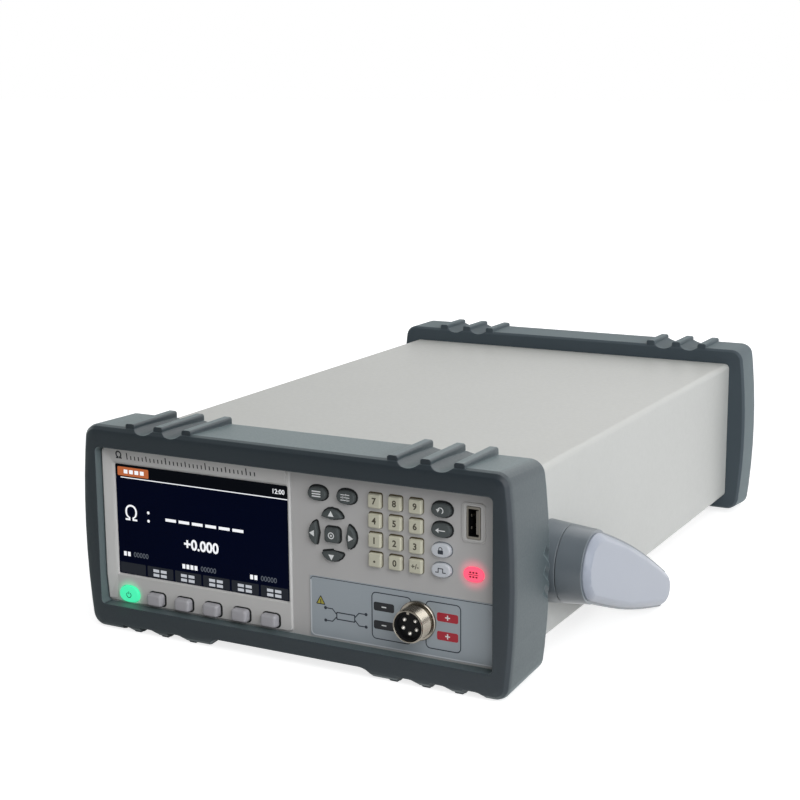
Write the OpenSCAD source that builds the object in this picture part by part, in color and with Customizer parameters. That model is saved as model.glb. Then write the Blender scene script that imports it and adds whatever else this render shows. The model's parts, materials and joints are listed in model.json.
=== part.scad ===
// Bench milliohmmeter: a half-rack instrument in a sleeve case with two soft end boots,
// a keypad and colour screen in front, and a folding bail handle underneath.
// X runs to the right of the front panel, Y from the front to the back, Z up from the table.

/* [Overall] */
// Depth over the two boots
depth = 370; // [330:1:420]
// Height over the ribs of the boots
height = 105; // [100:1:120]

/* [Case] */
// Width of the sleeve case
case_w = 214; // [190:1:240]
// Height of the sleeve case
case_h = 83; // [81:1:86]
// Wall of the sleeve case
case_wall = 1.5; // [1:0.1:2.5]
// Corner radius of the sleeve case
case_r = 3; // [2.5:0.5:8]

/* [Boots] */
// Length of the front boot along the case
boot_len = 38; // [30:1:50]
// Length of the rear boot along the case
rear_len = 30; // [24:1:50]
// How far the panels lie behind the boots' outer faces
panel_recess = 6.8; // [5:0.1:9]
// How much of the panel's width the boot's lip covers on each side
lip_overlap = 0.6; // [0.4:0.1:2]
// How much of the panel's height the lip covers at its top and bottom
lip_over_z = 1.6; // [0.6:0.1:2.5]
// Drop of the front boot's top between its outer face and its inner edge
boot_drop = 1.2; // [0.6:0.1:3]
// Drop of the rear boot's top between its outer face and its inner edge
rear_drop = 0.4; // [0.2:0.1:3]
// Height of a rib over the boot's outer edge
rib_rise = 2; // [1:0.1:2.5]
// Height of the hollows between the lower ribs, as a share of the boot's wall under the case
belly_share = 0.29; // [0.2:0.01:0.36]
// Height of the hollow between the two wide feet, as a share of the boot's wall under the case
belly_high_share = 0.44; // [0.38:0.01:0.5]
// How far the boot's sides bulge beyond the case
boot_side = 10.5; // [9:0.1:14]
// Sag of the boot's sides towards their corners
side_bulge = 3.4; // [1:0.1:4]
// Radius of the boot's corners seen from the front
boot_corner = 7; // [5.5:0.5:12]
// Rounding of the boot's outer edge
edge_round = 4.2; // [2:0.1:5]
// Width of a rib's straight bar
rib_w = 5.2; // [3:0.1:6]
// Rounding of a rib's long edges
rib_edge = 1.2; // [0.4:0.1:1.4]
// Distance of a rib's end behind the boot's outer face
rib_setback = 2.7; // [2:0.1:4]
// Spacing of the ribs in a group
rib_pitch = 16.4; // [14:0.1:18]
// Ribs in each group
rib_count = 3; // [2:1:4]
// Middle of the right group of ribs, from the case's right side
rib_right_in = 34.1; // [30:0.1:40]
// Middle of the left group of ribs, from the case's left side
rib_left_in = 36.8; // [32:0.1:46]
// Depth of the hollows between the upper ribs, as a share of the boot's wall over the case
hollow_share = 0.41; // [0.3:0.01:0.5]
// Radius of the hollows between the ribs
hollow_r = 8; // [7:0.1:12]
// Depth of the slanted grooves on the boot's sides
groove_depth = 1.3; // [0.6:0.1:1.6]
// Spacing of the slanted grooves
groove_pitch = 9; // [8:0.1:12]
// Width of the wide foot at the inner bottom rib of each group
foot_w = 17; // [12:0.5:22]

/* [Front panel] */
// Thickness of the moulded front panel
panel_t = 3; // [2:0.1:4]
// Thickness of the raised screen bezel
bezel_t = 0.9; // [0.5:0.1:1.5]
// Width of the panel's keypad zone, right of the screen bezel
keypad_w = 105.8; // [104:0.1:112]
// Frame of the bezel beside the screen
screen_frame = 2; // [1.8:0.1:4]
// Left edge of the visible screen, from the case's left side
screen_in = 7.4; // [6:0.1:9]
// Height of the visible screen
screen_h = 55.6; // [50:0.1:58]
// Middle of the screen above the case's middle
screen_z = 3; // [1:0.1:4]

/* [Keys] */
// Gap between a key and its hole
key_gap = 0.3; // [0.2:0.05:0.5]
// Gap between a soft key and its hole
soft_gap = 0.5; // [0.3:0.05:0.6]
// Travel of every key
key_travel = 1.2; // [0.8:0.1:1.5]
// Height of the keys over the panel
key_proud = 1.9; // [1.5:0.1:2.6]
// Height of the soft keys over the bezel
soft_proud = 3.4; // [2:0.1:4]
// Width of a number key
num_w = 6.5; // [5.5:0.1:7.5]
// Column spacing of the number keys
num_dx = 10.3; // [9.5:0.1:11]
// Row spacing of the number keys
num_dz = 9.15; // [8.6:0.05:9.6]
// Middle of the number keys from the case's right side, as a share of the keypad zone's width
num_share = 0.482; // [0.476:0.001:0.488]
// Top row above the case's middle
num_top = 29.6; // [28:0.1:31]
// Width of an oval key
oval_w = 9.6; // [8.5:0.1:10.5]
// Height of an oval key
oval_h = 6.5; // [5.5:0.1:7]
// Column of the four right oval keys from the case's right side, as a share of the keypad zone's width
oval_share = 0.265; // [0.25:0.001:0.272]
// Width of a soft key
soft_w = 8.8; // [7:0.1:11]
// Height of a soft key
soft_h = 6.2; // [5:0.1:7]
// Rightmost soft key, from the screen's right edge
soft_in = 10; // [8:0.1:12]
// Row of the soft keys below the case's middle
soft_z = -35; // [-35.2:0.1:-33]
// Middle of the arrow keys from the case's right side, as a share of the keypad zone's width
pad_share = 0.791; // [0.786:0.001:0.8]
// Middle of the arrow keys above the case's middle
pad_z = 10.8; // [9:0.1:12]
// Distance of the arrow keys from their middle
pad_r = 9.9; // [9.6:0.1:10.4]

/* [Sockets] */
// Outer radius of the test socket's threaded barrel
test_r = 7.9; // [7:0.1:8.5]
// How far the test socket stands in front of the boot
test_proud = 3.6; // [2:0.1:6]
// Test socket from the case's right side, as a share of the keypad zone's width
test_share = 0.379; // [0.36:0.001:0.39]
// Test socket below the case's middle
test_z = -23.1; // [-25:0.1:-22]
// Gap between the screen bezel and the terminal plate
plate_gap = 9.6; // [8:0.1:13]
// Gap between the terminal plate and the boot's lip at its right
plate_edge = 2.4; // [1.5:0.1:4]
// Gap between the terminal plate and the boot's lip under it
plate_sill = 0.9; // [0.6:0.1:1.5]
// Height of the terminal plate
plate_h = 29; // [27:0.1:30]
// USB socket, from the case's right side
usb_in = 12.6; // [12.2:0.1:13.2]
// USB socket above the case's middle
usb_z = 25.6; // [24:0.1:27]

/* [Handle] */
// Hinge line behind the front face
pivot_y = 59.6; // [59:0.1:64]
// Hinge line above the table
pivot_z = 48.3; // [47.8:0.1:50]
// Length of an arm between its two end centres
arm_len = 101.5; // [96:0.5:106]
// Slope of the folded arms towards the table
arm_tilt = 22; // [21.4:0.1:22.4]
// How far the arm's two long edges bow out
arm_bow = 2.2; // [0:0.1:4]
// Radius of the arm around the hinge
arm_r = 17.2; // [15:0.1:18]
// Radius of the arm's far end
arm_end_r = 10; // [8:0.1:10.2]
// Distance of the arms' outer faces beyond the boots
arm_reach = 12.5; // [9.5:0.5:16]
// Thickness of an arm's plate
arm_t = 5; // [4:0.1:6]
// Thickness of the arm's cover
cover_t = 3.2; // [2.4:0.1:4]
// How far the cover's rim stays inside the arm's outline
cover_in = 1.6; // [0.8:0.1:2.4]
// Radius of the boss at the case wall
boss_r = 19.4; // [18.6:0.1:20]
// Radius of the pivot bolt's shoulder
bolt_r = 5; // [4:0.1:6]
// Width of the cross grip
grip_w = 17; // [14:0.5:18]
// Height of the cross grip
grip_h = 8.4; // [7:0.1:8.6]

/* [Rear panel] */
// Thickness of the rear panel
rear_t = 2; // [1.5:0.1:3]
// Mains inlet, from the case's right side
inlet_in = 35; // [33:1:40]
// Wide data socket, from the mains inlet
data_in = 80; // [76:1:90]
// Width of the wide data socket
data_w = 39; // [30:0.5:42]
// Width of the small data socket
data_small_w = 17; // [15:0.5:26]
// Height of the data sockets' shells
data_h = 8.4; // [7:0.1:9]
// Distance of the rear panel's screws from its edges
screw_in = 8; // [7:0.5:10]
// Cooling slots in each group
vent_count = 9; // [5:1:12]

/* [Inside] */
// Thickness of the circuit boards
board_t = 1.6; // [1:0.1:2.4]
// Thickness of the chassis tray
tray_t = 1.2; // [1:0.1:2]
// Height of the board pillars
pillar_h = 6; // [4:0.5:10]
// Depth of the main board
main_d = 220; // [180:1:230]
// Width of the transformer's core
core_w = 36; // [30:1:40]
// Depth of the transformer's core
core_d = 60; // [50:1:70]
// Height of the transformer's core
core_h = 50; // [40:1:60]

/* [Hidden] */
$fn = 48;
eps = 0.02;
seat = 0.3;                                  // clearance between pieces that move past each other
run_gap = 0.05;                              // radial clearance of the hinge
width = case_w + 2 * boot_side;              // width over the bulged sides of the boots
front_y = -(depth - test_proud) / 2;         // outer face of the front boot
bezel_right = case_w / 2 - keypad_w;
screen_w = case_w - keypad_w - screen_in - screen_frame;
screen_x = -case_w / 2 + screen_in + screen_w / 2;
soft_dx = screen_w / 6;                      // six keys share the screen's width
soft_x = screen_x + screen_w / 2 - soft_in;
num_x = case_w / 2 - num_share * keypad_w;
oval_x = case_w / 2 - oval_share * keypad_w;
pad_x = case_w / 2 - pad_share * keypad_w;
test_x = case_w / 2 - test_share * keypad_w;
usb_x = case_w / 2 - usb_in;
arm_x = width / 2 + arm_reach;
rib_right_x = case_w / 2 - rib_right_in;
rib_left_x = -case_w / 2 + rib_left_in;
inlet_x = case_w / 2 - inlet_in;
data_x = inlet_x - data_in;
mid_z = height / 2;                          // middle of the case
case_y0 = panel_recess + panel_t;            // front end of the sleeve behind the boot's face
case_y1 = depth - panel_recess - rear_t;     // rear end of the sleeve
open_w = case_w - 2 * lip_overlap;           // window in the boot's lip
open_h = case_h - 2 * lip_over_z;
open_r = case_r - lip_overlap;
boot_top = height - rib_rise;                // top of the boot at its outer face
boot_base = 0.3;                             // underside of the boot's feet at its outer face
boot_wall = (height - case_h) / 2;           // boot's wall over and under the case
belly_rise = belly_share * boot_wall;
belly_high = belly_high_share * boot_wall;
hollow_depth = hollow_share * boot_wall;
panel_in = panel_recess + panel_t;           // back of the front panel
bezel_front = panel_recess - bezel_t;        // face of the raised bezel
in_w = case_w - 2 * case_wall;               // clear width inside the sleeve
in_h = case_h - 2 * case_wall;               // clear height inside the sleeve
floor_z = mid_z - in_h / 2;                  // inner floor of the sleeve
bezel_left = -open_w / 2 + seat;
flange_t = 1;                                // thickness of a key's retaining wings
wing_hold = 0.6;                             // reach of the wings beyond the key's hole
wing_h = 3.4;
plunger_r = 1.2;
plunger_len = 2;
dome_h = 0.9;                                // height of the dome switches
board_y = panel_in + seat + flange_t + plunger_len + key_travel + seat + dome_h;  // face of the key board
usb_w = 5.7;                                 // outside of the USB socket's sheet shell
usb_h = 13.1;
post_r = 2;                                  // posts that carry the key board
switch_r = 1.7;
lamp_z = num_top - 3 * num_dz;               // status lamp level with the bottom key row
plate_left = bezel_right + plate_gap;
plate_w = open_w / 2 - plate_edge - plate_left;
plate_base = -open_h / 2 + plate_sill;
hub_gap_x = width / 2 + 0.4;                 // where the turning barrel starts
hub_slope = (boss_r - arm_r) / (arm_x - case_w / 2);
arm_dy = arm_len * cos(arm_tilt);
arm_dz = -arm_len * sin(arm_tilt);
arm_in = arm_x - arm_t;
grip_top = mid_z - case_h / 2 - 0.5;         // top of the folded grip, just under the case
grip_y = pivot_y + arm_dy - 1;

// Each key: name, shape, X, Z from the case's middle, base level (0 panel, 1 bezel)
DARK = "#5b6162";
CREAM = "#c9c8b4";
CLEAR = "#dfe3e6";
GREY = "#8c8a8c";
SOFT_KEYS = [for (i = [0:4]) [str("key_soft_", i + 1), "soft", soft_x - (4 - i) * soft_dx, soft_z, GREY]];
NUMBER_ROWS = [["7", "8", "9"], ["4", "5", "6"], ["1", "2", "3"], ["point", "0", "sign"]];
NUMBER_KEYS = [for (r = [0:3]) for (c = [0:2])
    [str("key_num_", NUMBER_ROWS[r][c]), "square", num_x + (c - 1) * num_dx, num_top - r * num_dz, CREAM]];
RIGHT_NAMES = [["key_leave", DARK], ["key_back", DARK], ["key_hold", CLEAR], ["key_start", CLEAR]];
RIGHT_KEYS = [for (r = [0:3]) [RIGHT_NAMES[r][0], "oval", oval_x, num_top - r * num_dz, RIGHT_NAMES[r][1]]];
PAD_KEYS = [
    ["key_up", "up", pad_x, pad_z + pad_r, DARK],
    ["key_down", "down", pad_x, pad_z - pad_r, DARK],
    ["key_left", "left", pad_x - pad_r, pad_z, DARK],
    ["key_right", "right", pad_x + pad_r, pad_z, DARK],
    ["key_centre", "centre", pad_x, pad_z, DARK]];
TOP_KEYS = [
    ["key_view", "oval", pad_x - 7.5, num_top, DARK],
    ["key_setup", "oval", pad_x + 7.6, num_top, DARK]];
POWER_KEY = [["key_power", "power", soft_x - 5 * soft_dx, soft_z + 0.3, "#62ffc0"]];
KEYS = concat(POWER_KEY, SOFT_KEYS, TOP_KEYS, PAD_KEYS, NUMBER_KEYS, RIGHT_KEYS);

// Places children whose Y = 0 is the outer face of the front boot
module from_front() {
    translate([0, front_y, 0]) children();
}

// Places a profile drawn in X and Z at depth y from the front, t thick towards the back
module slab(y, t) {
    translate([0, y + t, mid_z]) rotate([90, 0, 0]) linear_extrude(t) children();
}

// Rectangle with true round corners, centred
module round_rect(w, h, r) {
    square([w - 2 * r, h], center = true);
    square([w, h - 2 * r], center = true);
    for (x = [-1, 1], z = [-1, 1]) translate([x * (w / 2 - r), z * (h / 2 - r)]) circle(r);
}

// Full oval, w wide and h high, a little squarer than an ellipse
module oval(w, h) {
    function fuller(v) = sign(v) * pow(abs(v), 0.88);
    polygon([for (a = [0:18:342]) [w / 2 * fuller(cos(a)), h / 2 * fuller(sin(a))]]);
}

// Outline of one key, grown by g all round
module key_outline(shape, g) {
    if (shape == "soft") round_rect(soft_w + 2 * g, soft_h + 2 * g, 1.5 + g);
    if (shape == "square") round_rect(num_w + 2 * g, num_w + 2 * g, 0.8 + g);
    if (shape == "centre") round_rect(num_w + 1 + 2 * g, num_w + 0.4 + 2 * g, 1.6 + g);
    if (shape == "oval") oval(oval_w + 2 * g, oval_h + 2 * g);
    if (shape == "power") oval(oval_w + 2.2 + 2 * g, oval_h + 1.8 + 2 * g);
    if (shape == "up") arrow_outline(g);
    if (shape == "down") rotate(180) arrow_outline(g);
    if (shape == "left") rotate(90) arrow_outline(g);
    if (shape == "right") rotate(-90) arrow_outline(g);
}

// Segment of a disc whose flat side faces the pad's middle
module arrow_outline(g) {
    seg_w = 10.8 + 2 * g;
    seg_h = 4.9 + 2 * g;
    r = seg_w * 0.56;
    intersection() {
        translate([0, seg_h / 2 - r]) circle(r);
        translate([0, -seg_h * 0.1]) round_rect(seg_w, seg_h * 1.2, 1.2);
        translate([0, r * 2.2 - seg_h / 2]) circle(r * 2.2);
    }
}

function is_front_row(shape) = shape == "soft" || shape == "power";
function gap_of(shape) = shape == "soft" ? soft_gap : key_gap;
function crown_of(shape) = shape == "soft" ? 1.1 : 0.6;
function key_face(shape) = is_front_row(shape) ? bezel_front - (shape == "power" ? 1.2 : soft_proud)
                                               : panel_recess - key_proud;

// One key: a crowned cap, two retaining wings behind the panel and a plunger
module key(k) {
    shape = k[1];
    face = key_face(shape);
    crown = crown_of(shape);
    wing = gap_of(shape) + wing_hold;
    cap_end = panel_in - seat;
    wing_mid = panel_in + seat + flange_t / 2;
    color(k[4]) from_front() translate([k[2], 0, k[3]]) {
        hull() {
            slab(face, crown / 6) key_outline(shape, -crown, $fn = 16);
            slab(face + crown * 0.25, crown / 6) key_outline(shape, -crown * 0.4, $fn = 16);
            slab(face + crown, cap_end - face - crown) key_outline(shape, 0, $fn = 16);
        }
        slab(cap_end - 1, wing_mid - cap_end + 1) intersection() {
            key_outline(shape, -crown, $fn = 16);
            square([key_w(shape), wing_h - seat], center = true);
        }
        slab(panel_in + seat, flange_t) square([key_w(shape) + 2 * wing, wing_h], center = true);
        slab(wing_mid, flange_t / 2 + plunger_len) circle(plunger_r);
    }
}

// Width of a key's outline
function key_w(shape) = shape == "soft" ? soft_w : shape == "square" ? num_w
    : shape == "centre" ? num_w + 1 : shape == "left" || shape == "right" ? 4.9
    : shape == "oval" ? oval_w : shape == "power" ? oval_w + 2.2 : 10;

// The soft boot: slices of the bulged outline, from the outer face inwards
module boot_slice(y, half_w, base, top, inset) {
    half_h = (top - base) / 2;
    slab(y, eps) translate([0, (top + base) / 2 - mid_z])
        offset(r = boot_corner - inset, $fn = 32) offset(delta = -boot_corner)
            polygon(concat(
                [for (t = [-1:0.25:1]) [half_w - side_bulge * t * t, t * half_h]],
                [for (t = [1:-0.25:-1]) [-half_w + side_bulge * t * t, t * half_h]]));
}

module boot_body(len, drop) {
    outer_half_w = width / 2 - 1.2;
    inner_top = boot_top - drop;
    hull() {
        for (a = [0, 30, 60, 90])
            boot_slice(edge_round * (1 - sin(a)), outer_half_w + 1.2 * edge_round / len,
                       boot_base, boot_top, edge_round * (1 - cos(a)));
        boot_slice(len - 1.5, width / 2, belly_rise, inner_top, 0);
        boot_slice(len - eps, width / 2, belly_rise, inner_top, 1.2);
    }
}

// One level rib with rounded long edges; up is 1 on top of the boot and -1 under it
module rib(x, up, len) {
    rib_h = (height - open_h) / 2 - 3;
    slab(rib_setback, len - rib_setback - 0.6) translate([x, up * (height - rib_h) / 2])
        round_rect(rib_w, rib_h, rib_edge);
}

// Round hollow along the boot between two ribs
module top_hollow(x) {
    slab(-1, hollow_len) translate([x, mid_z - hollow_depth + hollow_r]) circle(hollow_r, $fn = 96);
}

// Hollow under the boot from x0 to x1, rise high, with an arch down to the foot at its right,
// and at its left if wide
module under_hollow(x0, x1, rise, wide) {
    arch_r = rise + 2.8;
    ceiling = rise - mid_z;
    function arch(a) = [arch_r * sin(a), arch_r * (1 - cos(a))];
    right_arch = [for (a = [0:15:75]) [x1 + arch(a)[0], ceiling - arch(a)[1]]];
    left_arch = [for (a = [75:-15:0]) [x0 - arch(a)[0], ceiling - arch(a)[1]]];
    slab(-1, hollow_len)
        polygon(concat(wide ? left_arch : [[x0, -mid_z - 1], [x0, ceiling]], right_arch));
}

hollow_len = max(boot_len, rear_len) + 2;
function rib_xs(middle) = [for (i = [0:rib_count - 1]) middle + (i - (rib_count - 1) / 2) * rib_pitch];
RIB_XS = concat(rib_xs(rib_left_x), rib_xs(rib_right_x));
HOLLOW_XS = [for (m = [rib_left_x, rib_right_x], i = [0:rib_count - 2]) rib_xs(m)[i] + rib_pitch / 2];

// All hollows under the boot: beside each rib, beside the left corner and between the two wide feet
module under_hollows() {
    arch_reach = 2.5;
    hollow_w = 6;
    LEFT = rib_xs(rib_left_x);
    RIGHT = rib_xs(rib_right_x);
    for (x = concat([for (i = [0:rib_count - 2]) LEFT[i]], RIGHT))
        under_hollow(x + rib_w / 2, x + rib_w / 2 + hollow_w, belly_rise, false);
    under_hollow(LEFT[0] - rib_w / 2 - hollow_w + 0.6, LEFT[0] - rib_w / 2 - hollow_w + 1.2, belly_rise, false);
    under_hollow(LEFT[rib_count - 1] - rib_w / 2 + foot_w + arch_reach,
                 RIGHT[0] + rib_w / 2 - foot_w - arch_reach, belly_high, true);
}

// Three short slanted grip grooves across the inner edge of each side
module side_grooves() {
    groove_r = 3;
    for (side = [-1, 1], i = [0:2])
        translate([side * (width / 2 + groove_r - groove_depth), boot_len - 1, mid_z - 13 + i * groove_pitch])
            rotate([50, 0, 0]) cylinder(h = 14, r = groove_r, center = true);
}

// A boot whose outer face lies at Y = 0; only a grooved one has grip grooves
module boot(len, drop, grooved) {
    difference() {
        union() {
            difference() {
                boot_body(len, drop);
                for (x = HOLLOW_XS) top_hollow(x);
                under_hollows();
            }
            for (x = RIB_XS, up = [-1, 1]) rib(x, up, len);
        }
        if (grooved) side_grooves();
        slab(-1, depth) round_rect(open_w, open_h, open_r);
        slab(panel_recess, depth) round_rect(case_w, case_h, case_r);
    }
}

module front_bumper() {
    color("#4a5359") from_front() boot(boot_len, boot_drop, true);
}

module rear_bumper() {
    color("#4a5359") from_front() translate([0, depth, 0]) mirror([0, 1, 0])
        boot(rear_len, rear_drop, false);
}

// Sleeve of painted sheet with the two holes of the handle's bosses
module case_shell() {
    color("#cbcdcc") from_front() difference() {
        slab(case_y0, case_y1 - case_y0) difference() {
            round_rect(case_w, case_h, case_r);
            round_rect(in_w, in_h, case_r - case_wall);
        }
        for (side = [-1, 1]) translate([side * case_w / 2, pivot_y, pivot_z]) rotate([0, 90, 0])
            cylinder(h = 4 * case_wall, r = bolt_r + 3 + 0.1, center = true);
    }
}

// Holes of the keys that lie on the bezel or on the bare panel
module key_holes(y, t, front_row) {
    for (k = KEYS) if (is_front_row(k[1]) == front_row)
        translate([k[2], 0, k[3]]) slab(y, t) key_outline(k[1], gap_of(k[1]));
}

module front_panel() {
    tab_h = 50;
    tab_len = 14;
    color("#adaba9") from_front() {
        difference() {
            union() {
                slab(panel_recess, panel_t) round_rect(case_w, case_h, case_r);
                slab(panel_recess - 0.5, 1) translate([usb_x, usb_z]) round_rect(11.2, 17.8, 2);
            }
            slab(panel_recess - 1, panel_t + 2) translate([screen_x, screen_z])
                round_rect(screen_w + 2.6, screen_h + 2.6, 1);
            slab(panel_recess - 1, panel_t + 2) translate([usb_x, usb_z])
                round_rect(usb_w + 1.3, usb_h + 1.8, 0.8);
            slab(panel_recess - 1, panel_t + 2) translate([test_x, test_z]) circle(test_r + 0.1);
            slab(panel_recess - 1, panel_t + 2) translate([usb_x, lamp_z]) oval(oval_w + 0.6, oval_h + 0.6);
            key_holes(panel_recess - 1, panel_t + 2, false);
            key_holes(panel_recess - 1, panel_t + 2, true);
        }
        for (side = [-1, 1]) slab(panel_in - eps, tab_len)
            translate([side * (in_w / 2 - 0.2 - 1), 0]) square([2, tab_h], center = true);
        for (p = BOARD_POSTS) slab(panel_in - eps, board_y - panel_in + eps) translate(p) circle(post_r);
    }
}

// Places of the panel's moulded posts, clear of the screen, the keys and the sockets
post_top = in_h / 2 - post_r - 0.5;
post_right = usb_x + 3.6;
post_mid = bezel_right + 5;
BOARD_POSTS = [
    [-in_w / 2 + 6, post_top], [screen_x, post_top], [post_mid, num_top], [post_right, post_top],
    [post_right, lamp_z - 12], [post_right, 3 - post_top], [pad_x + 7, 6 - post_top], [post_mid, -15],
    [soft_x - 2.5 * soft_dx, soft_z + 1.2]];

// Raised frame round the screen and the row of soft keys, with a chamfered rim
module screen_bezel() {
    w = bezel_right - bezel_left;
    x = (bezel_right + bezel_left) / 2;
    h = open_h - 2 * seat;
    color("#b3b1af") from_front() difference() {
        hull() {
            slab(bezel_front, eps) translate([x, 0]) round_rect(w - 1.4, h - 1.4, open_r - 0.7, $fn = 32);
            slab(panel_recess - eps, eps) translate([x, 0]) round_rect(w, h, open_r, $fn = 32);
        }
        hull() {
            slab(bezel_front - eps, eps) translate([screen_x, screen_z])
                round_rect(screen_w + 1.4, screen_h + 1.4, 1.2, $fn = 32);
            slab(panel_recess + eps, eps) translate([screen_x, screen_z])
                round_rect(screen_w, screen_h, 0.6, $fn = 32);
        }
        key_holes(bezel_front - 1, bezel_t + 2, true);
    }
}

module screen_window() {
    color("#10131a") from_front() slab(panel_recess, 1.1) translate([screen_x, screen_z])
        round_rect(screen_w + 2.2, screen_h + 2.2, 0.8);
}

// Display module: the stepped panel behind the window and its metal frame
module lcd_module() {
    color("#2b2f36") from_front() {
        slab(panel_recess + 1.1, panel_t - 1.1) translate([screen_x, screen_z])
            square([screen_w + 2, screen_h + 2], center = true);
        slab(panel_in, 4.2) translate([screen_x, screen_z])
            square([screen_w + 5, screen_h + 6], center = true);
    }
}

module terminal_plate() {
    color("#98a0a6") from_front() difference() {
        slab(panel_recess - 0.4, 0.4) translate([plate_left + plate_w / 2, plate_base + plate_h / 2])
            round_rect(plate_w, plate_h, 0.8);
        slab(panel_recess - 1, 2) translate([test_x, test_z]) circle(test_r + 0.1);
    }
}

// Upright USB socket: sheet shell, its flared mouth and the contact tongue
module usb_port() {
    shell_t = 0.35;
    shell_len = 14;
    color("#a8adb0") from_front() translate([usb_x, 0, usb_z]) {
        difference() {
            union() {
                slab(panel_recess - 0.6, shell_len) round_rect(usb_w, usb_h, 0.6);
                slab(panel_recess - 0.6, 0.4) round_rect(usb_w + 0.9, usb_h + 1.4, 0.7);
            }
            slab(panel_recess - 1, shell_len) round_rect(usb_w - 2 * shell_t, usb_h - 2 * shell_t, 0.3);
        }
        slab(panel_recess + 0.8, shell_len - 2) translate([-0.9, 0]) square([1.8, 10.8], center = true);
        slab(panel_recess + shell_len - 3.4, 2) square([usb_w - shell_t, usb_h - shell_t], center = true);
    }
}

module status_lamp() {
    color("#ff5a78") from_front() translate([usb_x, 0, lamp_z]) {
        slab(panel_recess - 0.6, panel_t + 0.6) oval(oval_w, oval_h);
        slab(panel_in, 1.5) square([oval_w + 1, 4], center = true);
    }
}

// Round threaded test socket: flange, barrel with key notch, five pins in an arc
module test_socket_shell() {
    front = -test_proud;
    color("#c9c6bf") from_front() translate([test_x, 0, test_z]) difference() {
        union() {
            slab(front, panel_recess + test_proud + 10) circle(test_r);
            slab(panel_recess - 1.9, 1.5) circle(test_r + 1.3);
        }
        slab(front - 1, panel_recess + test_proud + 12) circle(test_r - 1.3);
    }
}

module test_socket_insert() {
    color("#15171a") from_front() translate([test_x, 0, test_z]) difference() {
        slab(insert_face, panel_recess + 10 - insert_face) circle(test_r - 1.3);
        slab(insert_face - 1, 3) translate([0, test_r - 1.3]) square([2.2, 2.4], center = true);
        for (a = PIN_ANGLES) slab(-test_proud, 40) pin_spot(a) circle(0.9);
    }
}

// Five pins in an arc that is open at the top, by the key notch
PIN_ANGLES = [-132, -66, 0, 66, 132];
insert_face = 2.7 - test_proud;              // face of the insulator behind the rim
module pin_spot(a) {
    rotate(a) translate([0, -3.7]) children();
}

module test_socket_pins() {
    color("#e6e4df") from_front() translate([test_x, 0, test_z])
        for (a = PIN_ANGLES) slab(insert_face - 1.2, panel_recess + 15 - insert_face)
            pin_spot(a) circle(0.9, $fn = 24);
}

module test_socket_nut() {
    color("#b9b6ae") from_front() translate([test_x, 0, test_z]) slab(panel_in, 3) difference() {
        circle(test_r + 2.6, $fn = 6);
        circle(test_r);
    }
}

// Board behind the keys with one dome switch under each plunger
module key_board() {
    board_w = in_w - 6;
    board_h = in_h - 1;
    color("#2f6b47") from_front() {
        slab(board_y, board_t) difference() {
            round_rect(board_w, board_h, 1);
            translate([test_x, test_z]) circle(test_r + 3.4);
            translate([usb_x, usb_z]) square([usb_w + 0.4, usb_h + 0.4], center = true);
        }
        for (k = KEYS) translate([k[2], 0, k[3]]) slab(board_y - dome_h, dome_h) circle(switch_r, $fn = 24);
    }
}

// Folded tray that carries the boards, with pressed pillars
TRAY_Y0 = 46;
tray_len = depth - 2 * TRAY_Y0;
tray_w = in_w - 2 * case_r;
board_edge = 16;                             // board's left edge from the inner wall
core_edge = case_r + tray_t + 2 * seat;      // core's right side from the inner wall, clear of the tray's lip
main_w = in_w - board_edge - core_edge - core_w - 3;
board_x = -in_w / 2 + board_edge + main_w / 2;
board_front = TRAY_Y0 + 12;
PILLARS = [for (sx = [-1, 1], sy = [0, 1])
    [board_x + sx * (main_w / 2 - 6), board_front + 6 + sy * (main_d - 12)]];

module chassis_tray() {
    lip = 14;
    color("#b8bcbe") from_front() translate([0, 0, floor_z]) {
        translate([-tray_w / 2, TRAY_Y0, 0]) cube([tray_w, tray_len, tray_t]);
        for (side = [-1, 1]) translate([side * (tray_w - tray_t) / 2 - tray_t / 2, TRAY_Y0, 0])
            cube([tray_t, tray_len, lip]);
        for (p = PILLARS) translate([p[0], p[1], 0]) cylinder(h = tray_t + pillar_h, r = 3);
    }
}

// Measuring board with its larger parts
module main_board() {
    base = floor_z + tray_t + pillar_h;
    color("#256b45") from_front() {
        translate([board_x - main_w / 2, board_front, base]) cube([main_w, main_d, board_t]);
        translate([board_x, board_front + main_d / 2, base + board_t]) {
            part_block([-0.27, -0.22], [0.09, 0.09, 0.04]);
            part_block([0, -0.18], [0.15, 0.1, 0.03]);
            part_block([0.24, -0.05], [0.11, 0.055, 0.18]);
            part_block([0.13, 0.18], [0.27, 0.02, 0.33]);
            for (i = [0:2]) translate([(i * 0.11 - 0.33) * main_w, main_d * 0.2, 0])
                cylinder(h = 0.25 * in_h, r = 0.04 * main_w);
        }
    }
}

// One block-shaped part; place and size are shares of the board's width and depth and the case's height
module part_block(place, size) {
    translate([place[0] * main_w, place[1] * main_d, 0])
        cube([size[0] * main_w, size[1] * main_d, size[2] * in_h]);
}

// Mains transformer: laminated core round a wound bobbin, standing on the tray
module transformer() {
    bob = core_w / 3;
    x = in_w / 2 - core_edge - core_w / 2;
    y = depth - 2 * TRAY_Y0 - core_d;
    color("#6d5a48") from_front() translate([x, y, floor_z + tray_t]) {
        translate([-core_w / 2 + bob / 2, 0, 0]) cube([core_w - bob, core_d, core_h]);
        translate([-core_w / 2, bob, 6]) cube([core_w, core_d - 2 * bob, core_h - 12]);
    }
}

INLET_W = 27;
INLET_H = 19.5;
FUSE_H = 8;
inlet_screw = (INLET_W + 13) / 2;            // flange screws from the inlet's middle
inlet_z = -8;
data_z = -14;
PLUG_SIZES = [[data_x, data_w], [data_x - data_w - 23, data_small_w]];
earth_x = inlet_x - 38;

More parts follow.
